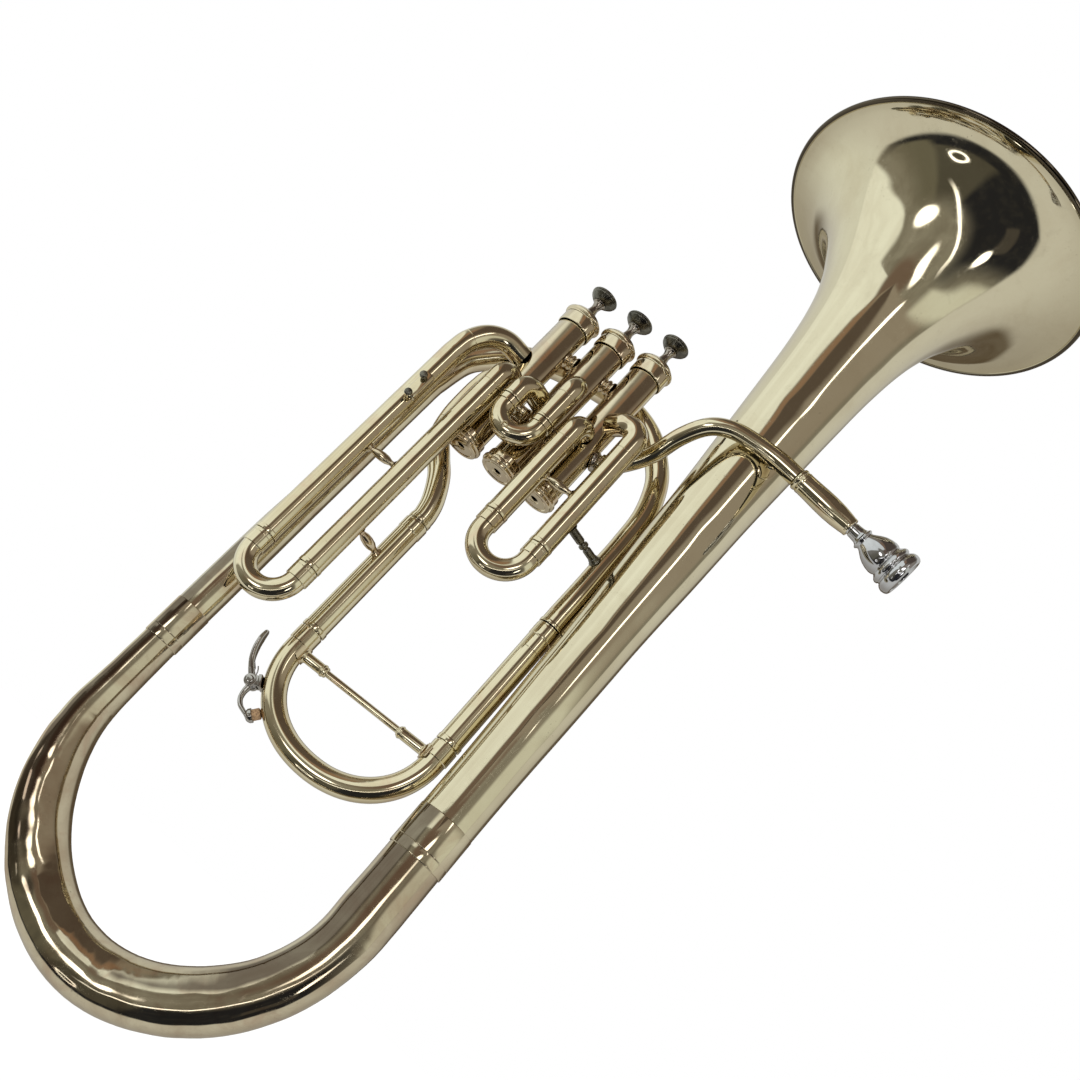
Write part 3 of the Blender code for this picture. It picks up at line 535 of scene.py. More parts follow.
    patch(26, 27, 7.5, 3.6, -25, 4.2)                       # slanted lamp
    patch(70, 52, 25, 1.1, -17, 3.6, box=True, soft=0.35)   # long thin tube lamp
    patch(124, 57, 9.0, 5.6, 0, 4.4)                        # lamp
    patch(-27, 59, 9.0, 2.4, 10, 3.4)                      # long lamp, seen as a line on upright tubes
    patch(35, 71, 10, 5.0, 0, 3.6)                          # lamp overhead
    # ring lamp
    c = room_dir(106, 15.5)
    ang = N.m("MULTIPLY", N.m("ARCCOSINE", N.dot(d, tuple(c))), 57.29578)
    ring = N.m("MULTIPLY", N.step(ang, 6.0, 5.3), N.step(ang, 3.6, 4.3))
    col = N.mix(ring, col, (3.0, 3.0, 3.0))
    # people see a plain white room; only the metal sees the rest
    lp = N.new("ShaderNodeLightPath")
    plain = N.mix(lp.outputs["Is Camera Ray"], (0.96, 0.96, 0.96), (1.0, 1.0, 1.0))
    final = N.mix(lp.outputs["Is Glossy Ray"], plain, col)
    bg = N.new("ShaderNodeBackground")
    N.plug(bg.inputs["Color"], final)
    out = N.new("ShaderNodeOutputWorld")
    t.links.new(bg.outputs[0], out.inputs["Surface"])


# ------------------------------------------------------------------ materials
def metal(name, base, patina, rough=0.07, wear=0.5, scratch=0.5, pits=0.5, tint_scale=26.0, dark=None, grain=0.0, warm=None, rim=False, lean=None, shade=0.0, relief=1.0, lean_side=None):
    """Polished plated or lacquered metal with hairline scratches, pits, dull patches and
    slow colour changes. Sizes are per metre."""
    m = bpy.data.materials.new(name)
    m.use_nodes = True
    t = m.node_tree
    t.nodes.clear()
    N = Nodes(t)
    tc = N.new("ShaderNodeTexCoord")
    co = tc.outputs["Object"]
    big = N.noise(co, tint_scale, 5.0, 0.6, 0.8)
    mid = N.noise(co, 140.0, 5.0, 0.6, 0.4)
    fine = N.noise(co, 900.0, 4.0, 0.65)
    # hairlines: thin bands of stretched noise in three directions
    lines = None
    for k, (rx, ry, rz, sc) in enumerate(((0.3, 0.2, 0.5, (900.0, 900.0, 30.0)), (1.1, 0.7, 0.2, (1100.0, 40.0, 900.0)), (0.2, 1.2, 0.9, (35.0, 1000.0, 1000.0)))):
        mp = N.new("ShaderNodeMapping")
        mp.inputs["Rotation"].default_value = (rx, ry, rz)
        mp.inputs["Scale"].default_value = sc
        N.plug(mp.inputs["Vector"], co)
        v = N.noise(mp.outputs[0], 1.0, 2.0, 0.5)
        ln = N.m("MULTIPLY", N.step(v, 0.655, 0.70), 1.0)
        lines = ln if lines is None else N.m("MAXIMUM", lines, ln)
    patchy = N.step(mid, 0.40, 0.62)
    lines = N.m("MULTIPLY", lines, patchy)
    # pits: small dark corroded specks in groups
    vor = N.voronoi(co, 420.0)
    group = N.step(N.noise(co, 60.0, 3.0, 0.6), 0.56, 0.66)
    speck = N.m("MULTIPLY", N.step(vor.outputs["Distance"], 0.20, 0.10), group)
    vor2 = N.voronoi(co, 1500.0)
    speck2 = N.m("MULTIPLY", N.step(vor2.outputs["Distance"], 0.22, 0.10), N.step(N.noise(co, 45.0, 4.0, 0.6), 0.53, 0.66))
    speck = N.m("MAXIMUM", speck, N.m("MULTIPLY", speck2, 0.8))
    # colour
    c = N.mix(N.step(big, 0.36, 0.70), base, patina)
    if warm:
        c = N.mix(N.m("MULTIPLY", N.step(N.noise(co, 55.0, 4.0, 0.55, 1.0), 0.50, 0.72), 0.75), c, warm)
    c = N.mix(N.m("MULTIPLY", N.step(mid, 0.55, 0.75), 0.25 * wear), c, tuple(0.7 * k for k in patina))
    c = N.mix(N.m("MULTIPLY", speck, 0.75 * pits), c, dark or tuple(0.22 * k for k in patina))
    c = N.mix(N.m("MULTIPLY", lines, 0.22 * scratch), c, tuple(min(1.0, 1.25 * k) for k in base))
    if rim:
        # the outer part of the rolled rim is coloured a near-black brown all round
        sep = N.new("ShaderNodeSeparateXYZ")
        N.plug(sep.inputs[0], co)
        dx = N.m("SUBTRACT", sep.outputs[0], BELL_X)
        dy = N.m("SUBTRACT", sep.outputs[1], BELL_Y)
        rr = N.m("SQRT", N.m("ADD", N.m("MULTIPLY", dx, dx), N.m("MULTIPLY", dy, dy)))
        c = N.mix(N.m("MULTIPLY", N.step(rr, 0.0990, 0.0998), 0.93), c, (0.050, 0.036, 0.024))
    # roughness
    r = N.m("ADD", rough, N.m("MULTIPLY", N.step(mid, 0.42, 0.78), 0.10 * wear))
    r = N.m("ADD", r, N.m("MULTIPLY", N.step(fine, 0.45, 0.75), 0.05 * wear + grain))
    r = N.m("ADD", r, N.m("MULTIPLY", lines, 0.16 * scratch))
    r = N.m("ADD", r, N.m("MULTIPLY", speck, 0.40 * pits), clamp=True)
    # relief
    h = N.m("MULTIPLY", lines, -0.00000016 * scratch * 10)
    h = N.m("ADD", h, N.m("MULTIPLY", speck, -0.0000006 * pits * 6))
    h = N.m("ADD", h, N.m("MULTIPLY", mid, 0.0000028))
    h = N.m("ADD", h, N.m("MULTIPLY", fine, 0.0000002 * (1 + 8 * grain)))
    if relief != 1.0:
        h = N.m("MULTIPLY", h, relief)
    bump = N.new("ShaderNodeBump")
    bump.inputs["Strength"].default_value = 1.0
    bump.inputs["Distance"].default_value = 1.0
    N.plug(bump.inputs["Height"], h)
    if shade:
        # painted dark reflection: where the reflected ray points towards the bright wall at the low left of the room,
        # the base colour is darkened to brown
        rf = tc.outputs["Reflection"]
        s_el = N.m("MULTIPLY", N.m("ARCSINE", N.dot(rf, tuple(TABLE_N))), 57.29578)
        s_az = N.m("MULTIPLY", N.m("ARCTAN2", N.dot(rf, tuple(E_Z)), N.dot(rf, tuple(E_X))), 57.29578)
        s_left = N.m("SUBTRACT", 180.0, N.m("ABSOLUTE", s_az))
        painted_reflection_mask = N.m("MULTIPLY", N.step(s_left, 46.0, 26.0), N.m("MULTIPLY", N.step(s_el, -30.0, -12.0), N.step(s_el, 66.0, 52.0)))
        painted_reflection_mask = N.m("MULTIPLY", painted_reflection_mask, N.step(big, 0.25, 0.55, 0.82, 1.0))
        c = N.mix(N.m("MULTIPLY", painted_reflection_mask, shade), c, (0.085, 0.060, 0.043))
    nrm = bump.outputs[0]
    if lean:
        tip = N.new("ShaderNodeVectorMath", operation="ADD")
        N.plug(tip.inputs[0], nrm)
        if lean_side:
            # only the far leg leans; it fades out towards the middle
            sx = N.new("ShaderNodeSeparateXYZ")
            N.plug(sx.inputs[0], co)
            gain = N.step(sx.outputs[0], lean_side[0], lean_side[1])
            part = N.new("ShaderNodeVectorMath", operation="SCALE")
            N.plug(part.inputs[0], lean)
            N.plug(part.inputs["Scale"], gain)
            N.plug(tip.inputs[1], part.outputs[0])
        else:
            N.plug(tip.inputs[1], lean)
        unit = N.new("ShaderNodeVectorMath", operation="NORMALIZE")
        N.plug(unit.inputs[0], tip.outputs[0])
        nrm = unit.outputs[0]
    b = N.new("ShaderNodeBsdfPrincipled")
    b.inputs["Metallic"].default_value = 1.0
    N.plug(b.inputs["Base Color"], c)
    N.plug(b.inputs["Roughness"], r)
    N.plug(b.inputs["Normal"], nrm)
    out = N.new("ShaderNodeOutputMaterial")
    t.links.new(b.outputs[0], out.inputs["Surface"])
    return m


def plain_mat(name, base, vary, rough, scale, metallic=0.0, bump_h=0.00002):
    m = bpy.data.materials.new(name)
    m.use_nodes = True
    t = m.node_tree
    t.nodes.clear()
    N = Nodes(t)
    co = N.new("ShaderNodeTexCoord").outputs["Object"]
    a = N.noise(co, scale, 5.0, 0.6)
    b1 = N.noise(co, scale * 6, 4.0, 0.6)
    c = N.mix(N.step(a, 0.35, 0.68), base, vary)
    bump = N.new("ShaderNodeBump")
    bump.inputs["Distance"].default_value = 1.0
    N.plug(bump.inputs["Height"], N.m("MULTIPLY", b1, bump_h))
    b = N.new("ShaderNodeBsdfPrincipled")
    b.inputs["Metallic"].default_value = metallic
    N.plug(b.inputs["Base Color"], c)
    N.plug(b.inputs["Roughness"], N.m("ADD", rough, N.m("MULTIPLY", b1, 0.15)))
    N.plug(b.inputs["Normal"], bump.outputs[0])
    out = N.new("ShaderNodeOutputMaterial")
    t.links.new(b.outputs[0], out.inputs["Surface"])
    return m


build_world()
BRASS = metal("worn_lacquered_brass", (0.70, 0.625, 0.44), (0.62, 0.53, 0.35), rough=0.05, pits=0.3, warm=(0.62, 0.48, 0.33), relief=0.5)
BRASS_BELL = metal("bell_brass", (0.69, 0.62, 0.44), (0.63, 0.55, 0.375), rough=0.045, pits=0.3, tint_scale=14.0)
BRASS_RIM = metal("bell_and_rim_brass", (0.67, 0.605, 0.435), (0.60, 0.525, 0.365), rough=0.045, pits=0.3, tint_scale=14.0, rim=True)
# bow_brass and branch_brass: shade= paints a dark brown reflection over the bright left-wall reflection
BRASS_BOW = metal("bow_brass", (0.60, 0.53, 0.38), (0.42, 0.33, 0.225), rough=0.06, wear=0.8, pits=0.6, tint_scale=20.0, warm=(0.46, 0.34, 0.235), shade=0.86, lean=(0.36, 0.0, 0.0), lean_side=(-0.062, -0.108))
BRASS_BRANCH = metal("branch_brass", (0.66, 0.59, 0.42), (0.50, 0.41, 0.28), rough=0.055, wear=0.6, pits=0.4, tint_scale=20.0, warm=(0.50, 0.38, 0.26), shade=0.80)
BRASS_CASE = metal("casing_brass", (0.68, 0.60, 0.425), (0.60, 0.50, 0.345), rough=0.06, wear=0.6, pits=0.35, warm=(0.60, 0.46, 0.32), lean=(-0.36, -0.12, 0.0), relief=0.7)
BRASS_OLD = metal("valve_brass", (0.66, 0.57, 0.40), (0.55, 0.43, 0.29), rough=0.085, wear=0.8, pits=0.6, warm=(0.54, 0.39, 0.27), relief=0.6)
SILVER = metal("silver_plate", (0.66, 0.66, 0.665), (0.46, 0.455, 0.46), rough=0.04, wear=0.35, scratch=0.5, pits=0.15)
KEY = metal("worn_nickel", (0.52, 0.50, 0.47), (0.36, 0.34, 0.31), rough=0.06, wear=0.5, scratch=0.5, pits=0.3)
STEM = metal("stem_nickel", (0.38, 0.34, 0.29), (0.24, 0.20, 0.16), rough=0.16, wear=0.8, pits=0.5, tint_scale=120.0)
DARK = metal("tarnished_button", (0.20, 0.19, 0.155), (0.10, 0.095, 0.08), rough=0.25, wear=1.0, pits=0.8, tint_scale=160.0, grain=0.1)
PISTON = metal("piston_metal", (0.60, 0.59, 0.56), (0.50, 0.48, 0.44), rough=0.16, wear=0.6, pits=0.2)
STEEL = metal("spring_steel", (0.52, 0.52, 0.53), (0.38, 0.37, 0.36), rough=0.22, wear=0.5, pits=0.3)
CORK = plain_mat("cork", (0.42, 0.27, 0.14), (0.22, 0.13, 0.07), 0.8, 900.0)

# ------------------------------------------------------------------ bell
BELL = curve_table([(-483, 15.0), (-430, 15.6), (-380, 16.8), (-330, 18.1), (-280, 20.2), (-230, 22.3), (-190, 24.7), (-160, 26.5), (-130, 28.7),
                    (-105, 31.5), (-85, 35.0), (-65, 40.9), (-48, 48.6), (-34, 56.6), (-22, 66.1), (-12, 77.4), (-6.2, 87.6), (-3.6, 95.0), (-2.9, 98.6)])


def bell_profile():
    out = []
    z = -470.8
    while z < -110:
        out.append((BELL(z), z))
        z += 5.0
    while z < -40:
        out.append((BELL(z), z))
        z += 2.0
    while z < -12:
        out.append((BELL(z), z))
        z += 1.0
    while z < -3.0:
        out.append((BELL(z), z))
        z += 0.45
    out.append((98.7, -3.05))
    # rolled rim wire, set off by a fine groove
    out.append((98.95, -2.75))
    c, r = (100.35, -1.75), 1.72
    for a in range(-160, 161, 16):
        out.append((c[0] + r * math.cos(math.radians(a)), c[1] + r * math.sin(math.radians(a))))
    inner = []
    z = -3.9
    while z > -12:
        inner.append((BELL(z) - 0.6, z + 0.35))
        z -= 0.6
    while z > -110:
        inner.append((BELL(z) - 0.8, z))
        z -= 2.5
    while z > -470:
        inner.append((BELL(z) - 0.9, z))
        z -= 8.0
    inner.append((BELL(-470.8) - 0.9, -470.8))
    return out + inner


def soft_wave(p, scale, amp, seed=0.0):
    return amp * noise.noise(Vector((p.x * scale + seed, p.y * scale - seed, p.z * scale + 2.1 * seed)))


def bump_at(p, centre, radius, depth):
    """A smooth dent (negative) or bulge at a point."""
    d = (p - centre).length / radius
    return depth * (1 - d * d) ** 2 if d < 1 else 0.0


verts, faces = lathe_mesh(bell_profile(), V(0, 0, 0), UP, 192)
BELL_DENTS = [(V(6, -26, -170), 13, -0.35), (V(-14, -22, -196), 10, -0.25), (V(12, -20, -262), 12, -0.3), (V(20, -18, -120), 15, -0.3), (V(-30, -48, -40), 16, -0.35),
              (V(8, -14, -396), 11, -0.25), (V(40, -55, -24), 14, 0.3), (V(-8, -16, -340), 12, -0.3)]
moved = []
for p in verts:
    r = math.hypot(p.x, p.y)
    k = soft_wave(p, 0.016, 0.30, 3.0) + soft_wave(p, 0.05, 0.05, 9.0)
    fade = min(1.0, max(0.0, (-6.0 - p.z) / 20.0))
    for c0, rad, dep in BELL_DENTS:
        k += bump_at(p, c0, rad, dep)
    if r > 1e-6:
        k *= fade
        moved.append(V(p.x + p.x / r * k, p.y + p.y / r * k, p.z))
    else:
        moved.append(p)
bell_ob = add("bell_flare_and_tube", moved, faces, BRASS_RIM, "horn", ["bell"], sharp=40)


def ferrule(name, centre, inner, outer, z0, z1, node, n=96, mat=None):
    prof = [(inner, z0), (outer - 0.25, z0), (outer - 0.02, z0 + 0.3), (outer, z0 + 5.2), (outer - 0.14, z0 + 5.4), (outer, z0 + 5.6),
            (outer - 0.02, z1 - 0.3), (outer - 0.25, z1), (inner, z1)]
    return turned(name, prof, centre, UP, mat or BRASS_BELL, "horn", [node], n=n, r=0.12, steps=2)


# both bands use the bow and branch brass, so they carry its painted dark reflection
ferrule("bell_bow_band", V(0, 0, 0), 15.15, 15.55, FER_BOT, FER_TOP, "bell_bow_ferrule", mat=BRASS_BRANCH)
ferrule("bow_branch_band", V(-LEG, 0, 0), 9.8, 10.15, FER_BOT, FER_TOP, "bow_branch_ferrule", n=72, mat=BRASS_BOW)


# ------------------------------------------------------------------ bottom bow
def bow_centre(a):
    r = LEG / 2
    bulge = 3.8 * math.exp(-((a - 92.0) / 30.0) ** 2)
    t = math.radians(a)
    return V(-r + (r + bulge) * math.cos(t), 0, BOW_Z - (r + bulge) * math.sin(t))


bow_path = [V(0, 0, -471.6), V(0, 0, -500.0)] + [bow_centre(a) for a in range(0, 181, 3)] + [V(-LEG, 0, -500), V(-LEG, 0, -471.6)]
bl = lengths(bow_path)
arc0, arc1 = bl[2], bl[-3]


def on_bow(a):
    return arc0 + (arc1 - arc0) * a / 180.0


bow_r = curve_table([(0, 14.9), (arc0 - 8, 14.9), (on_bow(10), 14.5), (on_bow(28), 14.5), (on_bow(50), 15.0), (on_bow(100), 14.85), (on_bow(130), 14.4),
                     (on_bow(150), 13.7), (on_bow(160), 12.5), (on_bow(172), 11.2), (arc1 + 6, 10.35), (arc1 + 22, 9.8), (bl[-1], 9.55)])
BOW_DENTS = [(V(-163, -9, -560), 9, -0.7), (V(-150, -12, -585), 11, -0.55), (V(-128, -13, -600), 10, -0.6), (V(-98, -13, -608), 12, -0.45), (V(-70, -14, -604), 10, -0.4),
             (V(-158, -3, -578), 8, -0.6), (V(-30, -13, -575), 12, -0.35), (V(-12, -14, -540), 11, -0.3), (V(-176, -4, -540), 8, -0.5), (V(-140, -6, -606), 9, 0.3)]


def bow_dent(p, s, q):
    k = soft_wave(p, 0.035, 0.36, 5.0) + soft_wave(p, 0.11, 0.10, 1.0)
    for c0, rad, dep in BOW_DENTS:
        k += bump_at(p, c0, rad, dep)
    return k * min(1.0, max(0.0, min(s - 10, bl[-1] - 10 - s) / 20.0))


pipe("bottom_bow_tube", bow_path, bow_r, BRASS_BOW, "horn", ["bottom_bow"], n=80, inner=lambda s: bow_r(s) - 0.9, ds=2.2, dent=bow_dent)

# ------------------------------------------------------------------ branch, return, feed
branch_path = [V(-172, 0, -470.8)] + fillet([V(-172, 0, -440), V(-172, 0, -410), V(-176.5, 13.0, -305), V(-176.5, 14.4, -276)], [260, 160], 4) + \
    smooth([V(-176.2, 14.6, -270), V(-171.6, 15.2, -247.5), V(-163.1, 15.5, -235.4), V(-150, 15.5, -223.4), V(-134, 15.5, -216.0),
            V(-112, 15.5, -211.5), V(-92.3, 15.5, -209.9)], 10)
br = lengths(branch_path)
branch_r = curve_table([(0, 9.75), (30, 9.9), (60, 9.8), (110, 9.1), (170, 8.3), (br[-1] - 90, 7.3), (br[-1], 6.9)])


def branch_dent(p, s, q):
    return soft_wave(p, 0.04, 0.16, 7.0) + soft_wave(p, 0.12, 0.05, 2.0)


pipe("main_branch", branch_path, branch_r, BRASS_BRANCH, "horn", ["main_branch_tube"], n=56, inner=lambda s: branch_r(s) - 0.7, dent=branch_dent,
     bands=[(br[-1] - 12, br[-1] - 11.3, -0.25)])

return_path = [V(-25.3, 4, -349.2)] + smooth([V(-25.3, 4, -342), V(-25.2, 5.0, -325), V(-25.6, 7.0, -305), V(-26.0, 9.0, -285), V(-27.8, 11.4, -262),
                                              V(-34.5, 13.3, -241.5), V(-43.5, 14.6, -228.5), V(-56, 15.3, -217.0), V(-70, 15.5, -210.6),
                                              V(-82, 15.5, -209.0), V(-91.4, 15.5, -209.8)], 8)
rl = lengths(return_path)
pipe("return_pipe", return_path, 6.75, BRASS, "horn", ["return_tube"], n=48, inner=6.1, dent=lambda p, s, q: soft_wave(p, 0.05, 0.10, 4.0),
     bands=[(0.0, 2.2, 0.35), (rl[-1] - 14, rl[-1] - 13.3, -0.25)])
pipe("tuning_outer_right", [V(-25.3, 4, -430.4), V(-25.3, 4, -349.9)], MAIN_R, BRASS, "horn", ["tuning_tube_right"], n=48, inner=MAIN_BORE,
     bands=[(0.0, 3.0, 0.38), (64.2, 64.7, -0.14), (72.0, 72.5, -0.14), (72.6, 79.8, 0.22)])
pipe("tuning_outer_left", [V(-119, 6, -428.6), V(-119, 6, -347.2)], MAIN_R, BRASS, "horn", ["tuning_tube_left"], n=48, inner=MAIN_BORE,
     bands=[(0.0, 3.0, 0.38), (74.0, 81.0, 0.34)])
feed_path = smooth([V(-119, 6, -346.7), V(-119.3, 6, -340), V(-122.1, 6, -330.5), V(-129.2, 6, -317.8), V(-137.8, 6.8, -308.2), V(-146.3, 8.0, -297.5),
                    V(-149.9, 8.0, -283), V(-150.4, 7.4, -268), V(-149.8, 6.6, -258.5), V(-147.2, 3.8, -252.4), V(-140.3, 1.4, -250.4)], 8)
fl = lengths(feed_path)
pipe("tuning_feed", feed_path, 6.45, BRASS, "horn", ["tuning_feed_tube"], n=48, inner=5.8,
     bands=[(fl[-1] - 44.0, fl[-1] - 43.4, -0.28), (0.3, 3.0, 0.3)])

# ------------------------------------------------------------------ leadpipe
MP_DIR = V(0.984, 0.0, -0.179).normalized()
RCV = V(29.2, -28.9, -210.3)
lead_pts = [V(-67.6, -2.6, -259.1), V(-66.0, -2.6, -258.6), V(-60.0, -2.6, -256.6), V(-52.0, -3.2, -248.0), V(-43.6, -7.0, -236.8), V(-35.5, -19.0, -224.3),
            V(-26.0, -26.6, -214.2), V(-14.5, -28.8, -208.6), V(0.0, -28.9, -207.2), V(14.0, -28.9, -207.9), V(28.6, -28.9, -210.2)]
lead_path = smooth(lead_pts, 10)
ll = lengths(lead_path)
lead_r = curve_table([(0, 4.85), (20, 4.95), (ll[-1] - 46, 5.0), (ll[-1] - 24, 5.0), (ll[-1] - 10, 5.4), (ll[-1], 5.5)])
pipe("leadpipe_tube", lead_path, lead_r, BRASS, "horn", ["leadpipe"], n=40, inner=4.2,
     bands=[(1.6, 2.6, 0.9), (4.2, 10.2, 1.1), (10.6, 11.5, 0.5)], dent=lambda p, s, q: soft_wave(p, 0.06, 0.06, 8.0))
turned("leadpipe_ball_ring", [(4.9, -2.2), (5.5, -1.9), (5.95, -1.0), (6.05, 0), (5.95, 1.0), (5.5, 1.9), (4.9, 2.2), (4.85, 0)], lead_path[0].lerp(lead_path[14], 0.32), V(0.955, 0, 0.296), STEM, "horn", [],
       n=48, r=0.2)
turned("mouthpiece_receiver_tube", [(4.35, 0), (5.6, 0), (6.3, 0.5), (6.45, 1.3), (6.3, 2.2), (5.95, 2.6), (5.95, 3.0), (6.3, 3.4), (6.35, 4.4), (6.2, 4.9), (6.3, 9.0), (6.6, 17.0), (6.65, 23.0), (6.35, 29.0), (5.75, 34.0), (5.35, 36.4), (5.4, 36.9), (5.3, 37.9), (5.0, 38.2), (4.5, 38.0)], RCV, MP_DIR, BRASS, "horn", ["mouthpiece_receiver"], n=56, r=0.3)

# saddle: a curved plate soldered on the bell tube, holding the leadpipe
def saddle_plate():
    verts, faces = [], []
    nx, ny = 22, 12
    for side in (0, 1):
        for i in range(nx + 1):
            for j in range(ny + 1):
                u_, v_ = i / nx * 2 - 1, j / ny * 2 - 1
                # leaf shape: pointed ends along the bell tube
                zz = v_ * 9.5
                half = 5.2 * math.sqrt(max(0.0, 1 - abs(v_) ** 2.2)) + 0.25
                ang = math.atan2(-20.5, 12.4) + (u_ * half) / 24.0
                z = -208.4 + zz
                rr = BELL(z) + (0.22 if side == 0 else 1.05 - 0.5 * (u_ * u_ + v_ * v_) * 0.5)
                verts.append(V(rr * math.cos(ang), rr * math.sin(ang), z))
    w = ny + 1
    tot = (nx + 1) * w
    for i in range(nx):
        for j in range(ny):
            a = i * w + j
            faces.append((a, a + 1, a + w + 1, a + w))
            faces.append((tot + a, tot + a + w, tot + a + w + 1, tot + a + 1))
    edge = [i * w for i in range(nx + 1)] + [nx * w + j for j in range(1, w)] + [i * w + ny for i in range(nx - 1, -1, -1)] + [j for j in range(ny - 1, 0, -1)]
    for k in range(len(edge)):
        a, b = edge[k], edge[(k + 1) % len(edge)]
        faces.append((a, b, b + tot, a + tot))
    return verts, faces


sv, sf = saddle_plate()
add("leadpipe_saddle_plate", sv, sf, BRASS, "horn", [])
turned("leadpipe_saddle_post", [(0, 0), (2.9, 0), (2.4, 0.6), (2.0, 1.2), (2.1, 1.8), (2.6, 2.6), (0, 2.6)], V(13.0, -21.2, -208.3), V(0, -1, 0), BRASS, "horn",
       ["leadpipe_saddle"], n=32)

# ------------------------------------------------------------------ valves
for k, x in VX.items():
    c = V(x, VY, 0)
    v, f = lathe_mesh(rounded([(9.35, CASING_BOTTOM), (CASING_R, CASING_BOTTOM), (CASING_R, -292.6), (CASING_R + 0.18, -292.4), (CASING_R + 0.18, -291.8), (CASING_R, -291.6),
                               (CASING_R, CASING_TOP), (9.35, CASING_TOP)], 0.12, 2), c, UP, 80)
    add("valve_%d_casing" % k, v, f, BRASS_CASE, "horn", ["valve_casing_%d" % k])
    turned("valve_%d_top_cap" % k, [(4.7, CAP_TOP - 1.4), (4.7, -184.95), (5.0, -184.65), (7.0, -184.15), (8.7, -184.7), (10.1, -185.7), (10.6, -186.3), (11.1, -187.0), (11.85, -187.5), (12.1, -188.0),
                                        (12.1, -189.0), (11.85, -189.4), (11.2, -189.6), (10.75, -190.0), (10.7, -190.5), (10.95, -190.8), (10.95, -197.3), (10.75, -197.9), (10.3, -198.0), (10.3, CAP_TOP - 1.4)],
           c, UP, BRASS_CASE, "horn", ["top_cap_%d" % k], n=88, r=0.2)
    turned("valve_%d_bottom_cap" % k, [(2.25, CAP_BOTTOM + 1.5), (10.2, CAP_BOTTOM + 1.5), (10.2, CAP_BOTTOM + 8.4), (10.7, CAP_BOTTOM + 8.4), (10.85, CAP_BOTTOM + 7.9), (10.85, CAP_BOTTOM + 4.9), (10.6, CAP_BOTTOM + 4.5),
                                       (11.2, CAP_BOTTOM + 4.1), (11.75, CAP_BOTTOM + 3.7), (11.75, CAP_BOTTOM + 2.3), (11.3, CAP_BOTTOM + 1.9), (10.6, CAP_BOTTOM + 1.6), (10.55, CAP_BOTTOM + 1.3), (10.75, CAP_BOTTOM + 1.0),
                                       (10.6, CAP_BOTTOM + 0.35), (10.1, CAP_BOTTOM), (8.6, CAP_BOTTOM), (8.2, CAP_BOTTOM + 0.55), (7.9, CAP_BOTTOM + 0.6), (7.6, CAP_BOTTOM + 0.15), (3.4, CAP_BOTTOM + 0.1), (3.1, CAP_BOTTOM + 0.5),
                                       (2.6, CAP_BOTTOM + 0.55), (2.25, CAP_BOTTOM + 0.8)],
           c, UP, BRASS_OLD, "horn", ["bottom_cap_%d" % k], n=88, r=0.14)
    turned("valve_%d_stem" % k, [(0, -190.4), (4.1, -190.4), (4.1, -183.9), (3.85, -182.9), (3.3, -181.0), (2.65, -178.6), (2.45, -176.9), (2.65, -175.2), (3.3, -173.4), (4.1, -172.4), (4.1, -172.2), (0, -172.2)],
           c, UP, STEM, "valve_%d" % k, ["valve_stem_%d" % k], n=44, r=0.3)
    b0 = BUTTON_Z
    turned("valve_%d_button" % k, [(0, b0 - 4.7), (4.4, b0 - 4.7), (5.2, b0 - 4.3), (6.4, b0 - 3.3), (7.5, b0 - 2.2), (8.2, b0 - 1.4), (8.35, b0 - 1.0), (8.15, b0 - 0.75), (8.7, b0 - 0.3), (8.75, b0 + 0.35),
                                   (8.4, b0 + 0.95), (7.6, b0 + 1.35), (6.2, b0 + 1.7), (4.4, b0 + 2.0), (2.2, b0 + 2.2), (0, b0 + 2.25)],
           c, UP, DARK, "valve_%d" % k, ["finger_button_%d" % k], n=72, r=0.2)

for name, xa, xb, node in (("knuckle_pipe_1_2", VX[2], VX[1], "knuckle_1_2"), ("knuckle_pipe_2_3", VX[3], VX[2], "knuckle_2_3")):
    m_ = (xa + xb) / 2
    turned(name, [(5.7, -3.6), (6.3, -3.6), (6.6, -3.2), (6.6, -2.2), (6.3, -1.8), (6.3, 1.8), (6.6, 2.2), (6.6, 3.2), (6.3, 3.6), (5.7, 3.6)],
           V(m_, VY + 2.0, -261.5), V(1, 0, 0), BRASS_OLD, "horn", [node], n=56, r=0.12)
for name, side in (("valve_stud_right", 1), ("valve_stud_left", -1)):
    turned(name, [(0, 0), (4.9, 0), (4.6, 0.9), (3.6, 1.5), (3.5, 2.0), (4.3, 2.5), (4.8, 3.3), (4.3, 4.1), (3.5, 4.6), (3.6, 5.1), (4.6, 5.7), (4.9, 6.6), (0, 6.6)],
           V(VX[2] + side * 9.8, VY, -215.5), V(side, 0, 0), BRASS_OLD, "horn", [], n=52, r=0.2)


# ------------------------------------------------------------------ valve slides
def port(valve, angle, z, reach=0.0):
    a = math.radians(angle)
    d = CASING_R - 0.3 + reach
    return V(VX[valve] + d * math.sin(a), VY - d * math.cos(a), z)


def outer_leg(name, node, pts, radii, mat=BRASS, bands=(), mouth=2.6):
    path = fillet(pts, radii, 5) if radii else pts
    total = lengths(path)[-1]
    bb = [(0.0, mouth, 0.24)] + [(total - b[0] if b[0] > 0 else -b[0], (total - b[0] if b[0] > 0 else -b[0]) + b[1], b[2]) for b in bands]
    return pipe(name, path, SLIDE_R, mat, "horn", [node], bands=bb, n=48, inner=SLIDE_BORE, ds=2.0,
                dent=lambda p, s, q: soft_wave(p, 0.08, 0.05, 6.0))


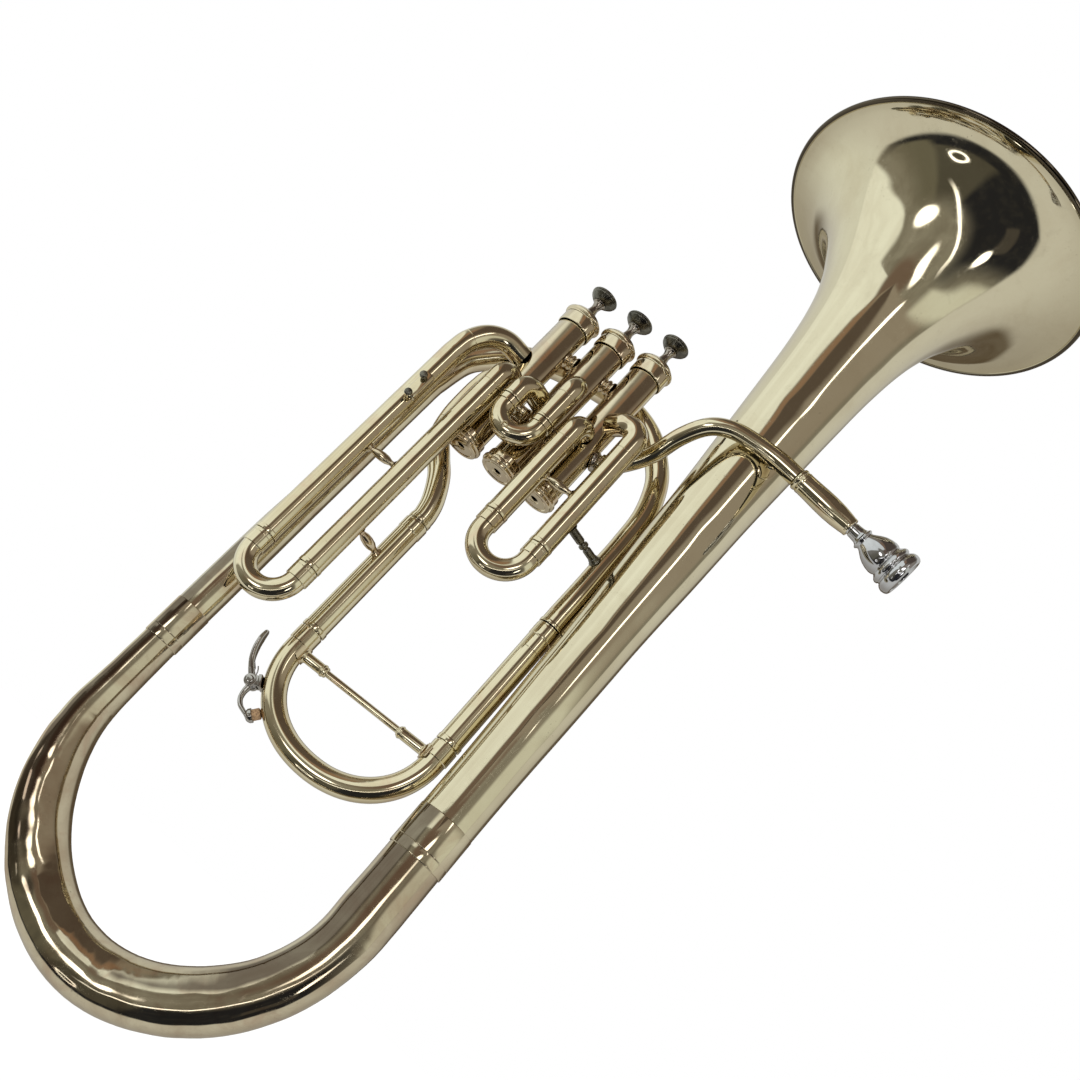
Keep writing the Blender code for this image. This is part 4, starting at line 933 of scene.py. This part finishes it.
def slide_bow(name, node, body, xl, xr, zm, ferr, z_arc, ins, tube_r=5.95):
    r = (xr - xl) / 2
    cx = (xr + xl) / 2
    path = [V(xl, SY, zm + ins), V(xl, SY, z_arc)]
    for a in range(175, 0, -5):
        path.append(V(cx + r * math.cos(math.radians(a)), SY, z_arc - r * math.sin(math.radians(a))))
    path += [V(xr, SY, z_arc), V(xr, SY, zm + ins)]
    total = lengths(path)[-1]
    la = ins + 0.35
    e = 0.25

    def rad(s):
        s = min(s, total - s)
        if s < la:
            return INNER_R
        if s < la + e:
            return INNER_R + (SLIDE_R + 0.05 - INNER_R) * math.sqrt((s - la) / e)
        if s < la + ferr:
            return SLIDE_R + 0.05
        if s < la + ferr + e:
            return SLIDE_R + 0.05 + (tube_r - SLIDE_R - 0.05) * (s - la - ferr) / e
        return tube_r
    marks = []
    for q in (la, la + 0.06, la + e, la + 1.9, la + ferr, la + ferr + e):
        marks += [q, total - q]
    bands = [(la + e + 1.4, la + e + 1.9, -0.12), (total - la - e - 1.9, total - la - e - 1.4, -0.12)]
    fn, mk = banded(rad, bands if ferr > 5 else [])
    v, f = sweep(path, fn, n=48, inner=lambda s: 5.2, ds=1.6, marks=marks + mk, dent=lambda p, s, q: soft_wave(p, 0.09, 0.06, 2.0) if s > la + 2 and s < total - la - 2 else 0.0)
    return add(name, v, f, BRASS, body, [node])


S1L, S1R, S1Z = -82.0, -52.3, -326.0
outer_leg("slide_1_outer_left", "slide_1_tube_left", [V(S1L, SY, S1Z), V(S1L, SY, -253.0), port(1, -13.7, -253.0)], [7.6], bands=[(21.0, 0.6, -0.22)])
outer_leg("slide_1_outer_right", "slide_1_tube_right", [V(S1R, SY, S1Z), V(S1R, SY, -237.8), port(1, 42, -237.2, 11.6), port(1, 42, -237.2)], [8.4, 5.2], bands=[(36.0, 0.6, -0.22)])
slide_bow("slide_1_crook", "slide_1_bow", "slide_1", S1L, S1R, S1Z, 7.0, -335.4, 36)

S2L, S2R, S2Z = -120.6, -98.0, -266.0
outer_leg("slide_2_outer_left", "slide_2_tube_left", [V(S2L, SY, S2Z), V(S2L, SY, -251.6), port(2, -43, -251.6)], [7.0], mouth=1.6)
outer_leg("slide_2_outer_right", "slide_2_tube_right", [V(S2R, SY, S2Z), V(S2R, SY, -234.0), port(2, 18, -234.0)], [7.8], bands=[(18.5, 0.6, -0.22)], mouth=1.6)
slide_bow("slide_2_crook", "slide_2_bow", "slide_2", S2L, S2R, S2Z, 3.6, -271.4, 7.0)
turned("slide_2_knob", [(0, -0.4), (2.3, -0.4), (1.7, 0.5), (1.4, 1.4), (1.5, 2.1), (2.2, 2.5), (2.5, 3.2), (2.5, 4.3), (2.2, 5.0), (1.5, 5.5), (0, 5.6)],
       V(S2L + SLIDE_R, SY, S2Z - 1.9), V(1, 0, 0), BRASS_OLD, "slide_2", ["slide_2_pull_knob"], n=40)
turned("slide_2_ring", [(1.1, -0.3), (2.0, -0.3), (2.1, 0.5), (1.7, 1.2), (1.2, 1.2)], V(-110.8, SY - 5.6, -283.0), V(0, -1, -0.2), BRASS_OLD, "slide_2", [], n=32, r=0.12)

S3L, S3R, S3Z = -164.8, -135.0, -410.0
outer_leg("slide_3_outer_left", "slide_3_tube_left", [V(S3L, SY, S3Z)] + smooth([V(S3L, SY, -264), V(-163.4, -19.6, -252.0), V(-158.2, -17.4, -241.0), V(-149.8, -12.6, -234.4), port(3, -64, -233.6)], 9), None, bands=[(36.0, 0.6, -0.22)])
outer_leg("slide_3_outer_right", "slide_3_tube_right", [V(S3R, SY, S3Z), V(S3R, SY, -251.5), port(3, -15.5, -251.5)], [7.6], bands=[(21.0, 0.6, -0.22)])
slide_bow("slide_3_crook", "slide_3_bow", "slide_3", S3L, S3R, S3Z, 8.5, -418.6, 60)


# ------------------------------------------------------------------ braces
def between(a, ra, b, rb):
    d = (b - a).normalized()
    return a + d * ra, b - d * rb


def post(name, node, a, b, foot, waist, mat=BRASS_OLD, style="spindle"):
    d = b - a
    h = d.length
    if style == "spindle":     # thin at the feet, swelling to a long belly
        prof = [(0, 0), (foot, 0), (foot * 0.8, 0.5), (waist * 0.85, 1.1), (waist * 0.8, h * 0.14), (waist * 1.3, h * 0.32), (waist * 1.42, h * 0.5),
                (waist * 1.3, h * 0.68), (waist * 0.8, h * 0.86), (waist * 0.85, h - 1.1), (foot * 0.8, h - 0.5), (foot, h), (0, h)]
    else:                      # straight post with rings
        prof = [(0, 0), (foot, 0), (foot, 0.5), (foot * 0.8, 0.9), (waist * 1.15, 1.3), (waist * 1.15, h * 0.40), (waist * 0.8, h * 0.43), (waist * 0.8, h * 0.47), (waist * 1.3, h * 0.49),
                (waist * 1.3, h * 0.55), (waist * 0.8, h * 0.57), (waist * 0.8, h * 0.61), (waist * 1.1, h * 0.64), (waist * 1.1, h - 3.0), (foot * 0.75, h - 2.6), (foot * 0.8, h - 0.9), (foot, h - 0.5), (foot, h), (0, h)]
    return turned(name, prof, a, d, mat, "horn", [node], n=40, r=0.3)


post("slide_1_brace", "slide_1_cross_brace", *between(V(S1L, SY, -291), SLIDE_R - 0.2, V(S1R, SY, -291), SLIDE_R - 0.2), 3.0, 1.9)
post("slide_3_brace", "slide_3_cross_brace", *between(V(S3L, SY, -338), SLIDE_R - 0.2, V(S3R, SY, -338), SLIDE_R - 0.2), 3.0, 1.9)
post("slide_1_post", "slide_1_return_brace", *between(V(S1R, SY, -304.6), SLIDE_R - 0.2, V(-25.6, 7.0, -304.6), 6.5), 3.6, 2.1, mat=DARK, style="post")
post("slide_3_post", "slide_3_tuning_brace", *between(V(S3R, SY, -376), SLIDE_R - 0.2, V(-119, 6, -376), MAIN_R - 0.2), 3.4, 2.1)

# ------------------------------------------------------------------ lyre socket
LY = V(S3L + 4.0, SY - 9.6, -296.0)


def block(name, nodes, centre, ax, ay, az, size, mat, body, bevel=0.5, holes=()):
    """A box with rounded edges; ax, ay, az are its unit axes."""
    me = bpy.data.meshes.new(name)
    bm = bmesh.new()
    bmesh.ops.create_cube(bm, size=1.0)
    for v_ in bm.verts:
        v_.co = Vector((v_.co.x * size[0], v_.co.y * size[1], v_.co.z * size[2]))
    bmesh.ops.bevel(bm, geom=bm.edges[:] + bm.verts[:], offset=bevel, segments=3, profile=0.6, affect='EDGES')
    for v_ in bm.verts:
        p = centre + ax * v_.co.x + ay * v_.co.y + az * v_.co.z
        v_.co = world(p)
    bmesh.ops.recalc_face_normals(bm, faces=bm.faces)
    bm.to_mesh(me)
    bm.free()
    me.shade_smooth()
    me.set_sharp_from_angle(angle=math.radians(30))
    ob = bpy.data.objects.new(name, me)
    scene.collection.objects.link(ob)
    me.materials.append(mat)
    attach(ob, body)
    if nodes:
        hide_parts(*nodes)
    return ob


EX, EY, EZ = V(1, 0, 0), V(0, 1, 0), V(0, 0, 1)
block("lyre_socket_block", ["lyre_socket"], V(LY.x + 0.6, LY.y + 0.5, LY.z), EX, EY, EZ, (7.0, 5.4, 18.4), BRASS, "horn", bevel=2.0)
turned("lyre_socket_rivet", [(0, 0), (1.7, 0), (2.2, 0.5), (2.3, 1.2), (2.0, 2.0), (1.2, 2.4), (0, 2.5)], V(LY.x, LY.y - 1.7, LY.z - 8.0), V(0, -1, 0), DARK, "horn", n=40)
turned("lyre_thumb_screw", [(0, 0), (1.4, 0), (1.4, 4.3), (1.8, 4.5), (2.0, 5.0), (1.8, 5.3), (1.6, 5.5), (2.1, 5.7), (2.3, 6.2), (2.2, 7.2), (1.8, 7.7), (0, 7.8)],
       V(LY.x, LY.y + 1.8, LY.z + 4.6), V(0, -1, 0), DARK, "lyre_thumb_screw", ["lyre_screw"], n=40)

# ------------------------------------------------------------------ main tuning slide
TL, TR = V(-119, 6, 0), V(-25.3, 4, 0)
TCX, TRAD, TZ, TDROP = (TL.x + TR.x) / 2, (TR.x - TL.x) / 2, -440.0, 41.4
INS = 62.0


def tuning_centre(a):
    c, s = math.cos(math.radians(a)), math.sin(math.radians(a))
    return V(TCX + TRAD * math.copysign(abs(c) ** 0.94, c), TL.y + (TR.y - TL.y) * (0.5 + 0.5 * c), TZ - TDROP * abs(s) ** 0.94)


tb = [V(TL.x, TL.y, -429.1 + INS), V(TL.x, TL.y, -438.5)] + [tuning_centre(a) for a in range(179, 0, -3)] + [V(TR.x, TR.y, -438.5), V(TR.x, TR.y, -430.9 + INS)]
tl = lengths(tb)
TLN = tl[-1]
_la = INS + 0.2


def tuning_r(s):
    s = min(s, TLN - s)
    if s < _la:
        return MAIN_INNER_R
    if s < _la + 0.3:
        return MAIN_INNER_R + (7.0 - MAIN_INNER_R) * math.sqrt((s - _la) / 0.3)
    if s < _la + 8.2:
        return 7.0
    if s < _la + 8.6:
        return 7.0 - 0.55 * (s - _la - 8.2) / 0.4
    return 6.45


tmarks = []
for q in (_la, _la + 0.08, _la + 0.3, _la + 8.2, _la + 8.6):
    tmarks += [q, TLN - q]
v, f = sweep(tb, tuning_r, n=52, inner=lambda s: 5.3, ds=1.8, marks=tmarks,
             dent=lambda p, s, q: (soft_wave(p, 0.06, 0.10, 11.0) if _la + 10 < s < TLN - _la - 10 else 0.0))
add("tuning_crook", v, f, BRASS, "tuning_slide", ["tuning_slide_bow"])
a, b = between(V(TL.x, TL.y, -441.0), 6.6, V(TR.x, TR.y, -439.5), 6.6)
h = (b - a).length
turned("tuning_crook_rod", [(0, 0), (4.2, 0), (4.1, 0.6), (3.3, 1.2), (3.0, 1.8), (3.0, 11.8), (3.3, 12.1), (3.5, 12.7), (3.3, 13.3), (2.9, 13.5), (2.9, 14.6), (2.6, 15.0), (1.85, 15.2), (1.85, h - 17.6),
                            (2.7, h - 17.2), (2.9, h - 16.6), (3.2, h - 16.3), (3.5, h - 15.6), (3.2, h - 14.9), (3.0, h - 14.7), (3.0, h - 1.8), (3.3, h - 1.2), (4.6, h - 0.6), (4.7, h), (0, h)],
       a, b - a, BRASS, "tuning_slide", ["tuning_bow_rod"], n=44, r=0.3)
for nm, at, dirn in (("tuning_foot_left", V(TL.x, TL.y, -441.0), V(1, 0, 0)), ("tuning_foot_right", V(TR.x, TR.y, -439.5), V(-1, 0, 0))):
    # curved flange that wraps the tube under the rod's foot
    vv, ff = [], []
    n1, n2 = 20, 10
    for side in (0, 1):
        for i in range(n1 + 1):
            for j in range(n2 + 1):
                q = (i / n1 * 2 - 1) * math.radians(62)
                zz = (j / n2 * 2 - 1) * (4.6 * math.cos((i / n1 * 2 - 1) * 0.9))
                rr = 6.8 if side == 0 else 7.55
                base_a = 0.0 if dirn.x > 0 else math.pi
                vv.append(V(at.x + rr * math.cos(base_a + q), at.y + rr * math.sin(base_a + q), at.z + zz))
    w = n2 + 1
    tot = (n1 + 1) * w
    for i in range(n1):
        for j in range(n2):
            a_ = i * w + j
            ff.append((a_, a_ + 1, a_ + w + 1, a_ + w))
            ff.append((tot + a_, tot + a_ + w, tot + a_ + w + 1, tot + a_ + 1))
    edge = [i * w for i in range(n1 + 1)] + [n1 * w + j for j in range(1, w)] + [i * w + n2 for i in range(n1 - 1, -1, -1)] + [j for j in range(n2 - 1, 0, -1)]
    for k in range(len(edge)):
        a_, b_ = edge[k], edge[(k + 1) % len(edge)]
        ff.append((a_, b_, b_ + tot, a_ + tot))
    add(nm, vv, ff, BRASS_OLD, "tuning_slide", [])

# ------------------------------------------------------------------ water key
KEY_A = 150.0
K0 = tuning_centre(KEY_A)
kt = (tuning_centre(KEY_A + 2) - tuning_centre(KEY_A - 2)).normalized()
kn = V(kt.z, 0, -kt.x).normalized()
if kn.x > 0:
    kn = -kn
PIVOT = K0 + kn * 12.2
ky = V(0, 1, 0)


def kp(u, v_, w_):
    return PIVOT + kt * u + kn * v_ + ky * w_


# two ears on a curved foot
block("water_key_foot", ["water_key_saddle"], kp(0, -4.9, 0), kt, kn, ky, (6.4, 2.0, 10.6), KEY, "tuning_slide", bevel=0.5)
for nm, w_ in (("water_key_ear_front", -3.85), ("water_key_ear_back", 3.85)):
    prof = [(0, -1.15), (3.1, -1.15), (3.35, -0.8), (3.35, 0.8), (3.1, 1.15), (0, 1.15)]
    turned(nm, prof, kp(0, 0, w_), ky, KEY, "tuning_slide", [], n=36, r=0.25)
    block(nm + "_leg", [], kp(0, -2.6, w_), kt, kn, ky, (5.0, 4.4, 2.0), KEY, "tuning_slide", bevel=0.35)
turned("water_key_screw", [(0, -6.1), (1.5, -6.1), (2.0, -5.9), (2.1, -5.4), (1.9, -4.9), (0.95, -4.8), (0.95, 5.4), (0, 5.4)], PIVOT, ky, KEY, "tuning_slide", ["water_key_pin"], n=32)


def ribbon(name, nodes, centre_line, half_w, thick, mat, body, seg=10):
    """A forged lever: an oval section swept along points (u, v), half widths in y and
    thicknesses given at each point."""
    verts, faces = [], []
    m = len(centre_line)
    for i, (u, v_) in enumerate(centre_line):
        a_ = centre_line[max(i - 1, 0)]
        b_ = centre_line[min(i + 1, m - 1)]
        t = (kt * (b_[0] - a_[0]) + kn * (b_[1] - a_[1])).normalized()
        nn = t.cross(ky).normalized()
        for k in range(seg * 2):
            q = math.pi * k / seg
            cx, cy = math.cos(q), math.sin(q)
            px = math.copysign(abs(cx) ** 0.7, cx) * half_w[i]
            py = math.copysign(abs(cy) ** 0.8, cy) * thick[i] / 2
            verts.append(kp(u, v_, 0) + ky * px + nn * py)
    w_ = seg * 2
    for i in range(m - 1):
        for k in range(w_):
            k2 = (k + 1) % w_
            faces.append((i * w_ + k, i * w_ + k2, (i + 1) * w_ + k2, (i + 1) * w_ + k))
    faces.append(tuple(range(w_))[::-1])
    faces.append(tuple((m - 1) * w_ + k for k in range(w_)))
    return add(name, verts, faces, mat, body, nodes, sharp=50)


def lever_line(pts, steps=5):
    """pts: (u, v, half width, thickness); returns finely spaced lists."""
    vs = [Vector((p[0], p[1], 0)) for p in pts]
    sm = smooth(vs, steps)
    n = len(pts)
    hw, th = [], []
    for i in range(len(sm)):
        x = min(i / steps, n - 1 - 1e-6)
        j = int(x)
        f_ = x - j
        hw.append(pts[j][2] * (1 - f_) + pts[min(j + 1, n - 1)][2] * f_)
        th.append(pts[j][3] * (1 - f_) + pts[min(j + 1, n - 1)][3] * f_)
    return [(p.x, p.y) for p in sm], hw, th


line, hw, th = lever_line([(28.6, -2.2, 0.9, 1.2), (27.6, -1.6, 2.6, 1.9), (23.8, 0.3, 3.8, 2.6), (18.6, 1.9, 3.8, 2.9), (13.0, 2.6, 3.0, 3.0), (8.0, 2.0, 2.5, 3.1), (3.4, 0.8, 2.4, 3.5), (0, 0.2, 2.5, 3.8),
                           (-2.5, 1.0, 2.4, 3.3), (-5.5, 2.8, 2.1, 2.7), (-9.0, 3.8, 2.1, 2.5), (-12.5, 3.0, 2.3, 2.5), (-15.0, 1.1, 2.7, 2.3), (-17.3, -0.9, 3.1, 2.1), (-19.8, -2.4, 2.8, 1.7)])
ribbon("water_key_arm", ["water_key_lever"], line, hw, th, KEY, "water_key")
turned("water_key_barrel", [(0, -2.85), (2.2, -2.85), (2.5, -2.5), (2.5, 2.5), (2.2, 2.85), (0, 2.85)], PIVOT, ky, KEY, "water_key", [], n=36)
CT = kp(-17.6, -2.3, 0)
near = min((tuning_centre(KEY_A - 60 + 0.5 * i) for i in range(120)), key=lambda p: (V(p.x, 0, p.z) - V(CT.x, 0, CT.z)).length)
cd = V(near.x - CT.x, 0, near.z - CT.z)
gap_len = cd.length - 6.45
cd.normalize()
C0 = V(CT.x, PIVOT.y, CT.z)
turned("water_key_cup", [(0, -1.7), (1.6, -1.6), (3.0, -0.9), (3.7, 0.1), (3.8, 1.7), (3.4, 1.9), (3.15, 0.6), (0, 0.5)], C0, cd, KEY, "water_key", [], n=44)
turned("water_key_pad", [(0, 0.5), (2.95, 0.5), (3.0, gap_len - 0.9), (2.6, gap_len - 0.5), (0, gap_len - 0.4)], C0, cd, CORK, "water_key", ["water_key_cork"], n=36)
turned("water_hole_nipple", [(0, gap_len - 0.25), (2.2, gap_len - 0.2), (2.9, gap_len + 0.5), (3.6, gap_len + 1.3), (0, gap_len + 1.6)], C0, cd, BRASS_OLD, "tuning_slide", [], n=36)

# torsion spring wound on the hinge
coil = []
for i in range(0, 97):
    q = 2 * math.pi * i / 24
    coil.append(PIVOT + kt * (3.0 * math.sin(q)) + kn * (3.0 * math.cos(q)) + ky * (-2.55 + 0.75 * i / 24 * 0.9))
coil = [kp(11.0, 0.7, -2.4), kp(7.0, -0.6, -2.4), kp(3.4, -0.4, -2.5)] + coil[7:] + [kp(3.2, -1.0, 0.25), kp(6.6, -1.6, 0.4), kp(9.0, -1.2, 0.4)]
pipe("water_key_spring_wire", coil, 0.33, STEEL, "water_key", ["water_key_spring"], n=10, ds=0.9)

# ------------------------------------------------------------------ mouthpiece
MP = RCV + MP_DIR * 38.0
turned("mouthpiece_body", [(2.2, -23.0), (3.5, -23.0), (3.95, -0.2), (3.7, 0.2), (3.75, 1.0), (4.05, 1.4), (4.15, 3.4), (4.4, 6.0), (5.0, 7.2), (6.1, 8.0), (6.2, 8.6), (5.3, 9.5), (5.2, 10.2), (6.4, 12.0), (7.9, 14.2), (9.1, 16.6), (9.9, 19.4),
                           (10.2, 22.0), (10.0, 23.6), (9.5, 24.4), (9.5, 25.0), (10.3, 25.8), (11.4, 26.8), (11.8, 28.0), (11.5, 29.0), (10.9, 29.5), (10.9, 30.1), (11.7, 30.7), (12.5, 31.8), (12.9, 33.4), (12.6, 35.2), (11.8, 36.4), (10.6, 36.9), (9.5, 36.5), (8.9, 35.2),
                           (8.5, 32.0), (8.2, 26.5), (7.0, 22.6), (4.4, 19.0), (2.4, 16.4), (2.0, 14.5)],
       MP, MP_DIR, SILVER, "mouthpiece", ["mouthpiece"], n=88, r=0.35, steps=3)

# ------------------------------------------------------------------ hidden working parts keep their CAD shapes
for k in VX:
    for node, mat in (("piston_%d" % k, PISTON), ("valve_spring_%d" % k, STEEL)):
        ob = frame["nodes"][node]
        ob.data.materials.clear()
        ob.data.materials.append(mat)

# ------------------------------------------------------------------ floor, light, camera
floor_mat = plain_mat("plain_floor", (0.07, 0.07, 0.07), (0.08, 0.08, 0.08), 0.6, 3.0, bump_h=0.0)
bpy.ops.mesh.primitive_circle_add(vertices=96, radius=4.0, fill_type='NGON', location=(0, 0, CAD_LO.z - 0.0006))
floor = bpy.context.object
floor.name = "floor"
floor.data.materials.append(floor_mat)
floor.visible_glossy = False
_ft = floor_mat.node_tree
_bsdf = next(n for n in _ft.nodes if n.type == "BSDF_PRINCIPLED")
_bsdf.inputs["Emission Color"].default_value = (1.0, 1.0, 1.0, 1.0)
_bsdf.inputs["Emission Strength"].default_value = 0.98

key = bpy.data.lights.new("soft_key", "AREA")
key.shape = 'DISK'
key.size = 1.6
key.energy = 6.0
kob = bpy.data.objects.new("soft_key", key)
kob.location = (-0.9, -1.2, 1.7)
kob.rotation_euler = (Vector((0, 0, 0.3)) - Vector(kob.location)).to_track_quat('-Z', 'Y').to_euler()
kob.visible_glossy = False
kob.visible_camera = False
scene.collection.objects.link(kob)

cam = bpy.data.cameras.new("camera")
cam.lens = 39.0
cam.sensor_width = 36.0
cam.clip_start, cam.clip_end = 0.01, 50.0
cob = bpy.data.objects.new("camera", cam)
right = Vector((0.7765, -0.0360, 0.6291))
down = Vector((0.5799, 0.4315, -0.6911))
forward = Vector((-0.2466, 0.9014, 0.3559))
rot = Matrix((right, -down, -forward)).transposed()
rot = rot.to_quaternion().to_matrix()
cob.matrix_world = Matrix.Translation(world(V(94.5, -565.2, -537.5))) @ rot.to_4x4()
scene.collection.objects.link(cob)
scene.camera = cob

scene.view_settings.view_transform = 'Standard'
scene.view_settings.look = 'None'
scene.view_settings.exposure = 0.0
scene.view_settings.gamma = 1.0
